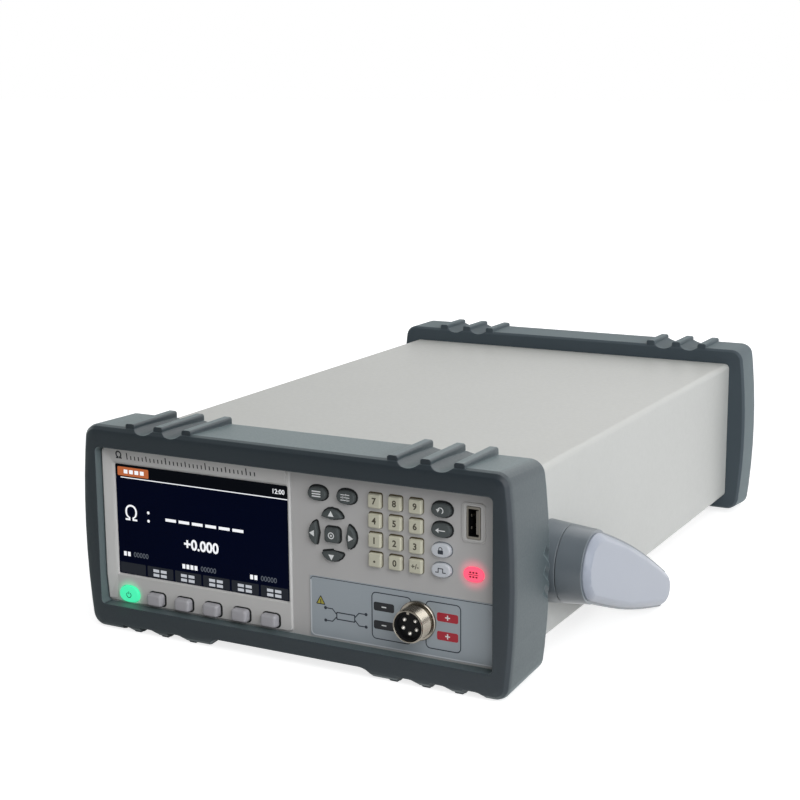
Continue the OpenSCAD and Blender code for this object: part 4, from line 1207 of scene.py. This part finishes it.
@dataclass
class Display(Assembly):
    """Cover glass and the picture behind it, drawn as thin lit layers."""

    lip: float = 1.1 * MM
    lift: float = 0.02 * MM
    corner: float = 0.05 * MM
    # Places in shares of the screen's width and height, boxes as left, top, right and bottom
    head: Box = (0.0, 0.0, 1.0, 0.108)
    rule: Box = (0.03, 0.113, 1.0, 0.121)
    tab: Box = (0.012, 0.022, 0.2, 0.102)
    tab_mark: Box = (0.05, 0.045, 0.073, 0.08)
    tab_mark_step: float = 0.033
    clock_at: Point = (0.985, 0.06)
    ohm_at: Point = (0.085, 0.445)
    colon_at: tuple[Point, Point] = ((0.19, 0.41), (0.19, 0.485))
    dash: Box = (0.293, 0.437, 0.356, 0.463)
    dash_step: float = 0.0785
    group_at: Point = (0.5, 0.645)
    limits: tuple[tuple[float, float, int], ...] = ((0.03, 0.815, 2), (0.385, 0.845, 4), (0.78, 0.84, 2))
    limit_mark: Point = (0.017, 0.04)
    limit_step: float = 0.024
    soft_tab: Box = (0.006, 0.895, 0.161, 0.995)
    soft_row: Box = (0.041, 0.918, 0.076, 0.944)
    soft_steps: Point = (0.045, 0.04)
    # Real sizes: corners of the tabs, dots of the colon, and figures by height and added stroke
    tab_round: float = 0.5 * MM
    soft_tab_round: float = 0.4 * MM
    colon_r: float = 0.75 * MM
    ohm_h: float = 7.8 * MM
    clock: Span = (2.3 * MM, 0.04 * MM)
    group: Span = (5.2 * MM, 0.22 * MM)
    zeros: Span = (2.6 * MM, 0.02 * MM)

    def build(self) -> None:
        """Dresses the glass and draws the measuring screen."""
        self.dress(Catalogue.SCREEN_GLASS, "screen_window")
        low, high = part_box("screen_window")
        self.face = low.y
        self.left, self.right = low.x + self.lip, high.x - self.lip
        self.bottom, self.top = low.z + self.lip, high.z - self.lip
        self._head()
        self._reading()
        self._limits()
        self._soft_row()

    def at(self, u: float, v: float) -> Point:
        """Point of the screen at share u of its width from the left and v of its height from the top."""
        return self.left + u * (self.right - self.left), self.top - v * (self.top - self.bottom)

    def _layer(self, name: str, level: int = 1) -> Layer:
        """Starts a lit layer; a higher level lies in front of a lower one."""
        return Layer("screen_" + name, self.face - level * self.lift, self.lift)

    def _row(self, layer: Layer, box: Box, step: float = 0.0, count: int = 1, r: float = 0.0) -> Layer:
        """Adds equal boxes side by side.

        Args:
            layer: Layer that gets them.
            box: The first one, in screen shares.
            step: Distance from one to the next.
            count: How many there are.
            r: Corner radius, or 0 for the smallest one.

        Returns:
            The layer.
        """
        (x0, z0), (x1, z1) = self.at(*box[:2]), self.at(*box[2:])
        pitch = step * (self.right - self.left)
        for i in range(count):
            layer.add(rounded_rect((x0 + x1) / 2 + i * pitch, (z0 + z1) / 2, x1 - x0, z0 - z1,
                                   r or self.corner, 2))
        return layer

    def _head(self) -> None:
        """Draws the black head bar with its tab, its clock and the rule under it."""
        self._row(self._layer("head"), self.head).build(Pixel.BLACK.finish())
        self._row(self._layer("tab", 2), self.tab, r=self.tab_round).build(Pixel.ORANGE.finish())
        marks = self._row(self._layer("head_marks", 3), self.tab_mark, self.tab_mark_step, 4)
        self._row(marks, self.rule)
        marks.glyphs("12:00", *self.at(*self.clock_at), *self.clock, "RIGHT")
        marks.build(Pixel.WHITE.finish())

    def _reading(self) -> None:
        """Draws the ohm sign, six empty digits and the bold group under them."""
        ink = self._layer("reading")
        ink.glyphs("Ω", *self.at(*self.ohm_at), self.ohm_h)
        for dot in self.colon_at:
            ink.add(disc(*self.at(*dot), self.colon_r, 16))
        self._row(ink, self.dash, self.dash_step, 6)
        ink.glyphs("+0.000", *self.at(*self.group_at), *self.group)
        ink.build(Pixel.WHITE.finish())

    def _limits(self) -> None:
        """Draws three short marks, each with its row of dim zeros."""
        marks, digits = self._layer("limit_marks"), self._layer("limit_digits")
        wide, high = self.limit_mark
        for u, v, count in self.limits:
            self._row(marks, (u, v - high / 2, u + wide, v + high / 2), self.limit_step, count)
            start = self.at(u + (count + 0.5) * self.limit_step, v)
            digits.glyphs("00000", *start, *self.zeros, "LEFT")
        marks.build(Pixel.WHITE.finish())
        digits.build(Pixel.DIM.finish())

    def _soft_row(self) -> None:
        """Draws six grey tabs over the soft keys, five of them with two pale rows."""
        tabs = self._row(self._layer("tabs"), self.soft_tab, 1 / 6, 6, self.soft_tab_round)
        rows = self._layer("tab_rows", 2)
        u0, v0, u1, v1 = self.soft_row
        across, down = self.soft_steps
        for i in range(1, 6):
            for k in range(2):
                self._row(rows, (u0 + i / 6, v0 + k * down, u1 + i / 6, v1 + k * down), across, 2)
        tabs.build(Pixel.TAB.finish())
        rows.build(Pixel.PALE.finish())


@dataclass(frozen=True)
class KeyLook:
    """Finish of one kind of key and the painted shade in the gap round it."""

    finish: Finish
    gap: Finish | None = None
    gap_w: float = 0.0
    gap_shift: Point = (0.0, 0.0)
    face: str = "front_panel"


@dataclass
class Keypad(Assembly):
    """All keys, each with a printed legend that moves with it."""

    ink_thick: float = 0.03 * MM
    snug: float = 0.06 * MM
    crease_deg: float = 50.0
    # In millimetres: figures by height and added stroke, and the pen of the pictograms
    digit: Span = (3.0, 0.12)
    sign: Span = (2.4, 0.06)
    pen: float = 0.42
    looks: dict[str, KeyLook] = field(default_factory=lambda: {
        "number": KeyLook(Catalogue.KEY_CREAM, Catalogue.GAP_BROWN, 0.42 * MM, (0.08 * MM, 0.36 * MM)),
        "soft": KeyLook(Catalogue.KEY_GREY, Catalogue.GAP_DARK, 0.6 * MM, (0.55 * MM, 0.12 * MM),
                        "screen_bezel"),
        "clear": KeyLook(Catalogue.KEY_CLEAR, Catalogue.GAP_GREY, 0.4 * MM, (0.2 * MM, 0.15 * MM)),
        "dark": KeyLook(Catalogue.KEY_DARK, Catalogue.GAP_DARK, 0.72 * MM, (0.3 * MM, 0.24 * MM)),
        "power": KeyLook(Catalogue.KEY_LIT)})

    def build(self) -> None:
        """Dresses every key, paints shade in the gap round it and prints its legend."""
        for part in frame["record"]["subparts"]:
            slot = part["material_slot"]
            if slot.startswith("key_"):
                look = self.looks[slot.removeprefix("key_")]
                self.dress(look.finish, part["node"], crease_deg=self.crease_deg)
                self._gap(part["node"], look)
        self._figures()
        self._arrows()
        self._icons()

    def _gap(self, node: str, look: KeyLook) -> None:
        """Paints shade in the gap round a key as a thin dark ring on the panel.

        Args:
            node: The key's solid.
            look: How this kind of key looks.
        """
        if look.gap is None:
            return
        face = front_face(look.face)
        key = outline_ahead(node, face)
        ring = Layer("gap_" + node, face - self.ink_thick, self.ink_thick)
        ring.add(grown(key, look.gap_w, look.gap_shift), grown(key, self.snug))
        ring.build(look.gap)

    def _spot(self, key: str) -> Point:
        """Middle of a key's face."""
        centre = middle("key_" + key)
        return centre.x, centre.z

    def _legend(self, key: str) -> Layer:
        """Starts a legend on a key's face."""
        return Layer("legend_" + key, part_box("key_" + key)[0].y - self.ink_thick, 2 * self.ink_thick)

    def _text(self, key: str, text: str, height: float, bold: float) -> None:
        """Prints a figure or a sign on a key.

        Args:
            key: The key.
            text: What is printed.
            height: Height of a digit, in millimetres.
            bold: How far each stroke is fattened, in millimetres.
        """
        layer = self._legend(key).glyphs(text, *self._spot(key), height * MM, bold * MM)
        layer.build(Catalogue.INK_BROWN, f"key_{key}_cap")

    def _print(self, key: str, ink: Finish, *shapes: Shape) -> None:
        """Prints shapes on a key.

        Args:
            key: The key.
            ink: Their finish.
            shapes: The shapes, in millimetres about the middle of its face.
        """
        self._legend(key).draw(self._spot(key), *shapes).build(ink, f"key_{key}_cap")

    def _figures(self) -> None:
        """Prints the digits, the decimal point and the plus and minus signs."""
        for name in "0123456789":
            self._text("num_" + name, name, *self.digit)
        self._print("num_point", Catalogue.INK_BROWN, [disc(0, -0.5, 0.55, 16)])
        self._text("num_sign", "+/-", *self.sign)

    def _arrows(self) -> None:
        """Prints a triangle on each arrow key and a ring with a dot on the middle key."""
        for name, turn in (("up", 90), ("left", 180), ("down", 270), ("right", 0)):
            self._print(name, Catalogue.INK_WHITE, [arc(0, 0, 1.75, turn, turn + 360, 3)[:-1]])
        self._print("centre", Catalogue.INK_WHITE, [disc(0, 0, 1.6), disc(0, 0, 1.15)], [disc(0, 0, 0.5, 16)])

    def _icons(self) -> None:
        """Prints the pictograms of the oval keys and of the power key."""
        white, slate, green = Catalogue.INK_WHITE, Catalogue.INK_BLUE, Catalogue.INK_GREEN
        # Three lines of a list
        self._print("view", white, *([bar(0, i * 1.15, 4.6, 0.55)] for i in (-1, 0, 1)))
        # Three sliders, each a line with its knob
        sliders = []
        for i, knob in ((-1, 1.1), (0, -1.2), (1, 0.4)):
            sliders += [[bar(0, i * 1.25, 4.6, 0.36)], [disc(knob, i * 1.25, 0.5, 12)]]
        self._print("setup", white, *sliders)
        # An arrow that turns back
        turn = stroke(arc(0, -0.1, 1.3, -60, 170, 14), self.pen)
        self._print("leave", white, [turn], [[(-2.2, 0.5), (-0.3, 0.5), (-1.25, -1.0)]])
        # An arrow to the left
        self._print("back", white, [bar(0.5, 0, 3.6, self.pen)], [[(-2.5, 0), (-0.9, 1.1), (-0.9, -1.1)]])
        # A closed padlock
        shackle = stroke([(-0.8, 0.25)] + arc(0, 0.75, 0.8, 180, 0, 10) + [(0.8, 0.25)], 0.36)
        self._print("hold", slate, [rounded_rect(0, -0.65, 2.6, 1.8, 0.3, 3)], [shackle])
        # A single pulse
        pulse = [(-2.6, -0.8), (-1.1, -0.8), (-1.1, 1.0), (1.1, 1.0), (1.1, -0.8), (2.6, -0.8)]
        self._print("start", slate, [stroke(pulse, self.pen)])
        # A broken ring with a line in its gap
        ring = stroke(arc(0, -0.3, 1.35, 125, 415, 20), 0.4)
        self._print("power", green, [ring], [bar(0, 0.75, 0.4, 1.5)])


@dataclass
class TestSocket(Assembly):
    """Round socket with a threaded chromed barrel and five domed pins."""

    barrel_r: float = 7.9 * MM
    bore_r: float = 6.6 * MM
    lip_r: float = 7.05 * MM
    # Nose of the barrel: its length, and how much smaller it starts
    nose: Span = (0.5 * MM, 0.05 * MM)
    # Thread: pitch, depth, where it starts, and its crest, a little inside the barrel
    pitch: float = 1.0 * MM
    depth: float = 0.5 * MM
    thread_from: float = 0.8 * MM
    crest: tuple[float, float, float] = (0.4, 0.55, 0.95)
    crest_less: float = 0.04 * MM
    flange: Span = (8.5 * MM, 10.0 * MM)
    flange_round: float = 0.3 * MM
    # Insulator's collar in the bore and the polarising key in it, whose size and drop are in millimetres
    sunk: float = 2.7 * MM
    collar_thick: float = 0.3 * MM
    collar_from: float = 0.5 * MM
    notch_from: float = 0.3 * MM
    notch: tuple[float, float, float] = (1.3, 1.1, 0.3)
    notch_drop: float = 0.35
    # Pins on an arc, by the turn of each from the lowest point in degrees
    pin_r: float = 0.9 * MM
    pin_reach: float = 3.7 * MM
    pin_turns: tuple[int, ...] = (-132, -66, 0, 66, 132)

    def build(self) -> None:
        """Dresses the insulator and turns barrel and pins."""
        self.dress(Catalogue.PHENOLIC, "test_socket_insert")
        self._barrel()
        self._sleeve()
        self._pins()

    def _barrel(self) -> None:
        """Cuts the thread on the barrel, in front of its flange."""
        low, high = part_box("test_socket_shell")
        flange_r, length = (high.x - low.x) / 2, high.y - low.y
        root_r, crest_r = self.barrel_r - self.depth, self.barrel_r - self.crest_less
        start, end = self.flange
        outline: Loop = [(self.thread_from, self.bore_r), (0.0, self.lip_r), (0.0, root_r - self.nose[1]),
                         (self.nose[0], root_r)]
        y = self.thread_from
        while y < start - self.pitch:
            rise, fall, foot = (y + share * self.pitch for share in self.crest)
            outline += [(y, root_r), (rise, crest_r), (fall, crest_r), (foot, root_r)]
            y += self.pitch
        outline += [(start, root_r), (start, flange_r - self.flange_round),
                    (start + self.flange_round, flange_r), (end, flange_r), (end, self.barrel_r),
                    (length, self.barrel_r), (length, self.bore_r)]
        barrel = lathe("threaded_barrel", outline, self._mouth(), Catalogue.CHROME, "housing", 96)
        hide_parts("test_socket_shell")

    def _mouth(self) -> Vector:
        """Middle of the socket's open end."""
        centre = middle("test_socket_shell")
        return Vector((centre.x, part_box("test_socket_shell")[0].y, centre.z))

    def _sleeve(self) -> None:
        """Lines the bore with the insulator's collar and sets the polarising key at its top."""
        mouth = self._mouth()
        inner = self.bore_r - self.collar_thick
        collar = [(self.collar_from, self.bore_r), (self.collar_from, inner), (self.sunk, inner),
                  (self.sunk, self.bore_r)]
        lathe("insulator_collar", collar, mouth, Catalogue.PHENOLIC, "housing")
        notch = Layer("polarising_key", mouth.y + self.notch_from, self.sunk - self.notch_from)
        notch.draw((mouth.x, mouth.z + self.bore_r), [rounded_rect(0, -self.notch_drop, *self.notch, 3)])
        notch.build(Catalogue.CHROME)

    def _pins(self) -> None:
        """Makes the five pins with domed tips."""
        low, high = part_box("test_socket_pins")
        centre = middle("test_socket_shell")
        length = high.y - low.y
        dome = [(self.pin_r * (1 - math.cos(math.radians(a))), self.pin_r * math.sin(math.radians(a)))
                for a in range(0, 91, 15)]
        for i, angle in enumerate(self.pin_turns):
            turn = math.radians(angle)
            spot = Vector((centre.x + self.pin_reach * math.sin(turn), low.y,
                           centre.z - self.pin_reach * math.cos(turn)))
            pin = lathe(f"contact_pin_{i + 1}", dome + [(length, self.pin_r), (length, 0.0)], spot,
                        Catalogue.SILVER, "housing", 24)
            if i == 0:
                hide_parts("test_socket_pins")


@dataclass
class UsbPort(Assembly):
    """Upright USB socket: folded shell with a flared mouth, tongue with four contacts, two springs."""

    # All in millimetres
    shell: Point = (5.7, 13.1)
    sheet: float = 0.35
    flare: tuple[float, float, float] = (6.6, 14.5, 0.7)
    flare_depth: float = 0.4
    length: float = 14.0
    tongue: tuple[float, float, float] = (1.4, 10.8, 0.2)
    tongue_x: float = 1.45
    contact: tuple[float, float, float] = (0.14, 1.0, 0.05)
    contact_x: float = 0.7
    contact_rise: tuple[float, ...] = (-3.5, -1.0, 1.0, 3.5)
    spring: Point = (0.5, 1.3)
    spring_at: Point = (-1.9, 2.8)

    def build(self) -> None:
        """Makes the shell and its mouth, the lining, the back, the tongue, the contacts and the springs."""
        centre = middle("usb_port")
        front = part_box("usb_port")[0].y
        in_w, in_h = (size - 2 * self.sheet for size in self.shell)
        hole = rounded_rect(0, 0, in_w, in_h, 0.3, 3)
        rim = self.flare_depth
        shell = [rounded_rect(0, 0, *self.shell, 0.6), hole]
        lining = [hole, rounded_rect(0, 0, in_w - 0.2, in_h - 0.2, 0.2, 3)]
        contacts = [[rounded_rect(self.contact_x, rise, *self.contact, 2)] for rise in self.contact_rise]
        springs = [[bar(self.spring_at[0], up * self.spring_at[1], *self.spring)] for up in (-1, 1)]
        back = rounded_rect(0, 0, in_w, in_h, 0.2, 3)
        tongue = rounded_rect(self.tongue_x, 0, *self.tongue, 3)
        # Each piece with its distance from the mouth and its length
        rows = (("usb_shell", rim, self.length - rim, Catalogue.NICKEL, [shell]),
                ("usb_flare", 0.0, rim, Catalogue.NICKEL, [[rounded_rect(0, 0, *self.flare), hole]]),
                ("usb_lining", 0.7, 12.0, Catalogue.PHENOLIC, [lining]),
                ("usb_back", 10.6, 2.0, Catalogue.PHENOLIC, [[back]]),
                ("usb_tongue", 1.2, 9.6, Catalogue.TONGUE, [[tongue]]),
                ("usb_contacts", 2.2, 8.0, Catalogue.GOLD, contacts),
                ("usb_springs", 2.0, 6.0, Catalogue.NICKEL, springs))
        pieces = stack((centre.x, centre.z), *((name, front + start * MM, length * MM, finish, shapes)
                                               for name, start, length, finish, shapes in rows))
        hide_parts("usb_port")


@dataclass
class StatusLamp(Assembly):
    """Red lamp lens with a printed line between two rows of short marks, in millimetres."""

    ink_thick: float = 0.03
    line: Point = (5.0, 0.3)
    mark: Point = (1.0, 0.8)
    mark_steps: Point = (1.5, 1.0)
    crease_deg: float = 50.0

    def build(self) -> None:
        """Dresses the lens and prints the line and the marks."""
        self.dress(Catalogue.LAMP_LIT, "status_lamp", crease_deg=self.crease_deg)
        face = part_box("status_lamp")[0].y
        centre = middle("status_lamp")
        across, down = self.mark_steps
        marks = [[bar(i * across, up * down, *self.mark)] for up in (-1, 1) for i in (-1, 0, 1)]
        stack((centre.x, centre.z), ("lamp_bars", face - self.ink_thick * MM, 2 * self.ink_thick * MM,
                                     Catalogue.INK_LAMP, [[bar(0, 0, *self.line)], *marks]))


@dataclass
class BailHandle(Assembly):
    """Bosses, bolts, arms, covers and cross grip."""

    cover_crease_deg: float = 50.0

    def build(self) -> None:
        """Dresses the handle's solids."""
        self.dress(Catalogue.ARM, "handle_bosses", "handle_arm_right", "handle_arm_left", "handle_grip")
        self.dress(Catalogue.COVER, "handle_cover_right", "handle_cover_left",
                   crease_deg=self.cover_crease_deg)
        self.dress(Catalogue.ZINC, "pivot_bolts")


@dataclass(frozen=True)
class PlugShape:
    """A data socket with two rows of contacts, in millimetres."""

    mount: str
    width: float
    upper_row: int
    height: float = 8.4
    slant: float = 1.6

    def outline(self, shrink: float = 0.0) -> Loop:
        """Draws the socket's slanted outline about its middle.

        Args:
            shrink: How far the outline is drawn in.

        Returns:
            The outline.
        """
        w, h = self.width / 2 - shrink, self.height / 2 - shrink
        return [(w, h), (-w, h), (self.slant - w, -h), (w - self.slant, -h)]


@dataclass
class RearPanel(Assembly):
    """Painted rear panel with its sockets and their contacts."""

    proud: float = 5.6 * MM
    # Data sockets: flange and insert on the panel, posts out from it, pins sunk and shorter than the shell
    flange_thick: float = 0.9 * MM
    insert_thick: float = 1.2 * MM
    post_tip: float = 5 * MM
    post_length: float = 4.1 * MM
    pin_sunk: float = 0.8 * MM
    pin_less: float = 1.0 * MM
    # Blades of the mains inlet
    blade_sunk: float = 4.9 * MM
    blade_length: float = 11.0 * MM
    plugs: tuple[PlugShape, ...] = (PlugShape("data_socket_wide", 39.0, 13),
                                    PlugShape("data_socket_small", 17.0, 5))
    # In millimetres
    sheet: float = 0.5
    flange_more: Point = (14.0, 4.0)
    post_reach: float = 4.0
    post_r: Point = (2.6, 1.3)
    row_pitch: float = 2.77
    row_rise: float = 1.42
    pin_r: float = 0.5
    blade: tuple[float, float, float] = (2.1, 4.1, 0.3)
    blade_spots: tuple[Point, ...] = ((-7.0, -2.0), (0.0, 2.0), (7.0, -2.0))

    def build(self) -> None:
        """Dresses the rear solids and makes the sockets' shells, inserts, pins and blades."""
        self.dress(Catalogue.REAR_PAINT, "rear_panel")
        self.dress(Catalogue.NYLON, "mains_inlet", "fuse_drawer")
        self.dress(Catalogue.BRASS, "earth_terminal")
        self.dress(Catalogue.ZINC, "panel_screws")
        mounts = {mount["name"]: Vector(mount["pos_m"]) for mount in frame["record"]["mounts"]}
        for i, plug in enumerate(self.plugs):
            shell = self._plug(plug, mounts[plug.mount])
            if i == 0:
                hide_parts("data_sockets")
        self._blades(mounts["mains_inlet_mouth"])

    def _plug(self, plug: PlugShape, tip: Vector) -> bpy.types.Object:
        """Makes one data socket.

        Args:
            plug: Its shape.
            tip: Middle of its open end.

        Returns:
            The socket's shell.
        """
        base = tip.y - self.proud
        outer, inner = plug.outline(), plug.outline(self.sheet)
        flange = rounded_rect(0, 0, plug.width + self.flange_more[0], plug.height + self.flange_more[1], 1)
        posts = [[disc(side * (plug.width / 2 + self.post_reach), 0, r, steps)
                  for r, steps in zip(self.post_r, (6, 16))] for side in (-1, 1)]
        pins = [[disc((k - (count - 1) / 2) * self.row_pitch, up * self.row_rise, self.pin_r, 12)]
                for up, count in ((1, plug.upper_row), (-1, plug.upper_row - 1)) for k in range(count)]
        return stack(
            (tip.x, tip.z),
            (plug.mount + "_shell", tip.y, base - tip.y, Catalogue.TIN_PLATE, [[outer, inner]]),
            (plug.mount + "_flange", base + self.flange_thick, -self.flange_thick, Catalogue.TIN_PLATE,
             [[flange, inner]]),
            (plug.mount + "_insert", base + self.insert_thick, -self.insert_thick, Catalogue.NYLON,
             [[inner]]),
            (plug.mount + "_posts", base + self.post_tip, -self.post_length, Catalogue.ZINC, posts),
            (plug.mount + "_pins", tip.y - self.pin_sunk, base + self.pin_less - tip.y, Catalogue.GOLD,
             pins))[0]

    def _blades(self, mouth: Vector) -> None:
        """Plates the three blades in the mouth of the mains inlet.

        Args:
            mouth: Middle of the inlet's mouth.
        """
        blades = [[rounded_rect(x, z, *self.blade, 3)] for x, z in self.blade_spots]
        stack((mouth.x, mouth.z), ("inlet_blades", mouth.y - self.blade_sunk, -self.blade_length,
                                   Catalogue.NICKEL, blades))


def main() -> None:
    """Builds the instrument part by part."""
    logging.basicConfig(level=logging.INFO, format="%(name)s: %(message)s")
    Studio().build()
    for part in (Housing(), FrontPanel(), LabelPlate(), Display(), Keypad(), TestSocket(), UsbPort(),
                 StatusLamp(), BailHandle(), RearPanel()):
        LOG.info("%s", type(part).__name__)
        part.build()


if __name__ == "__main__":
    main()
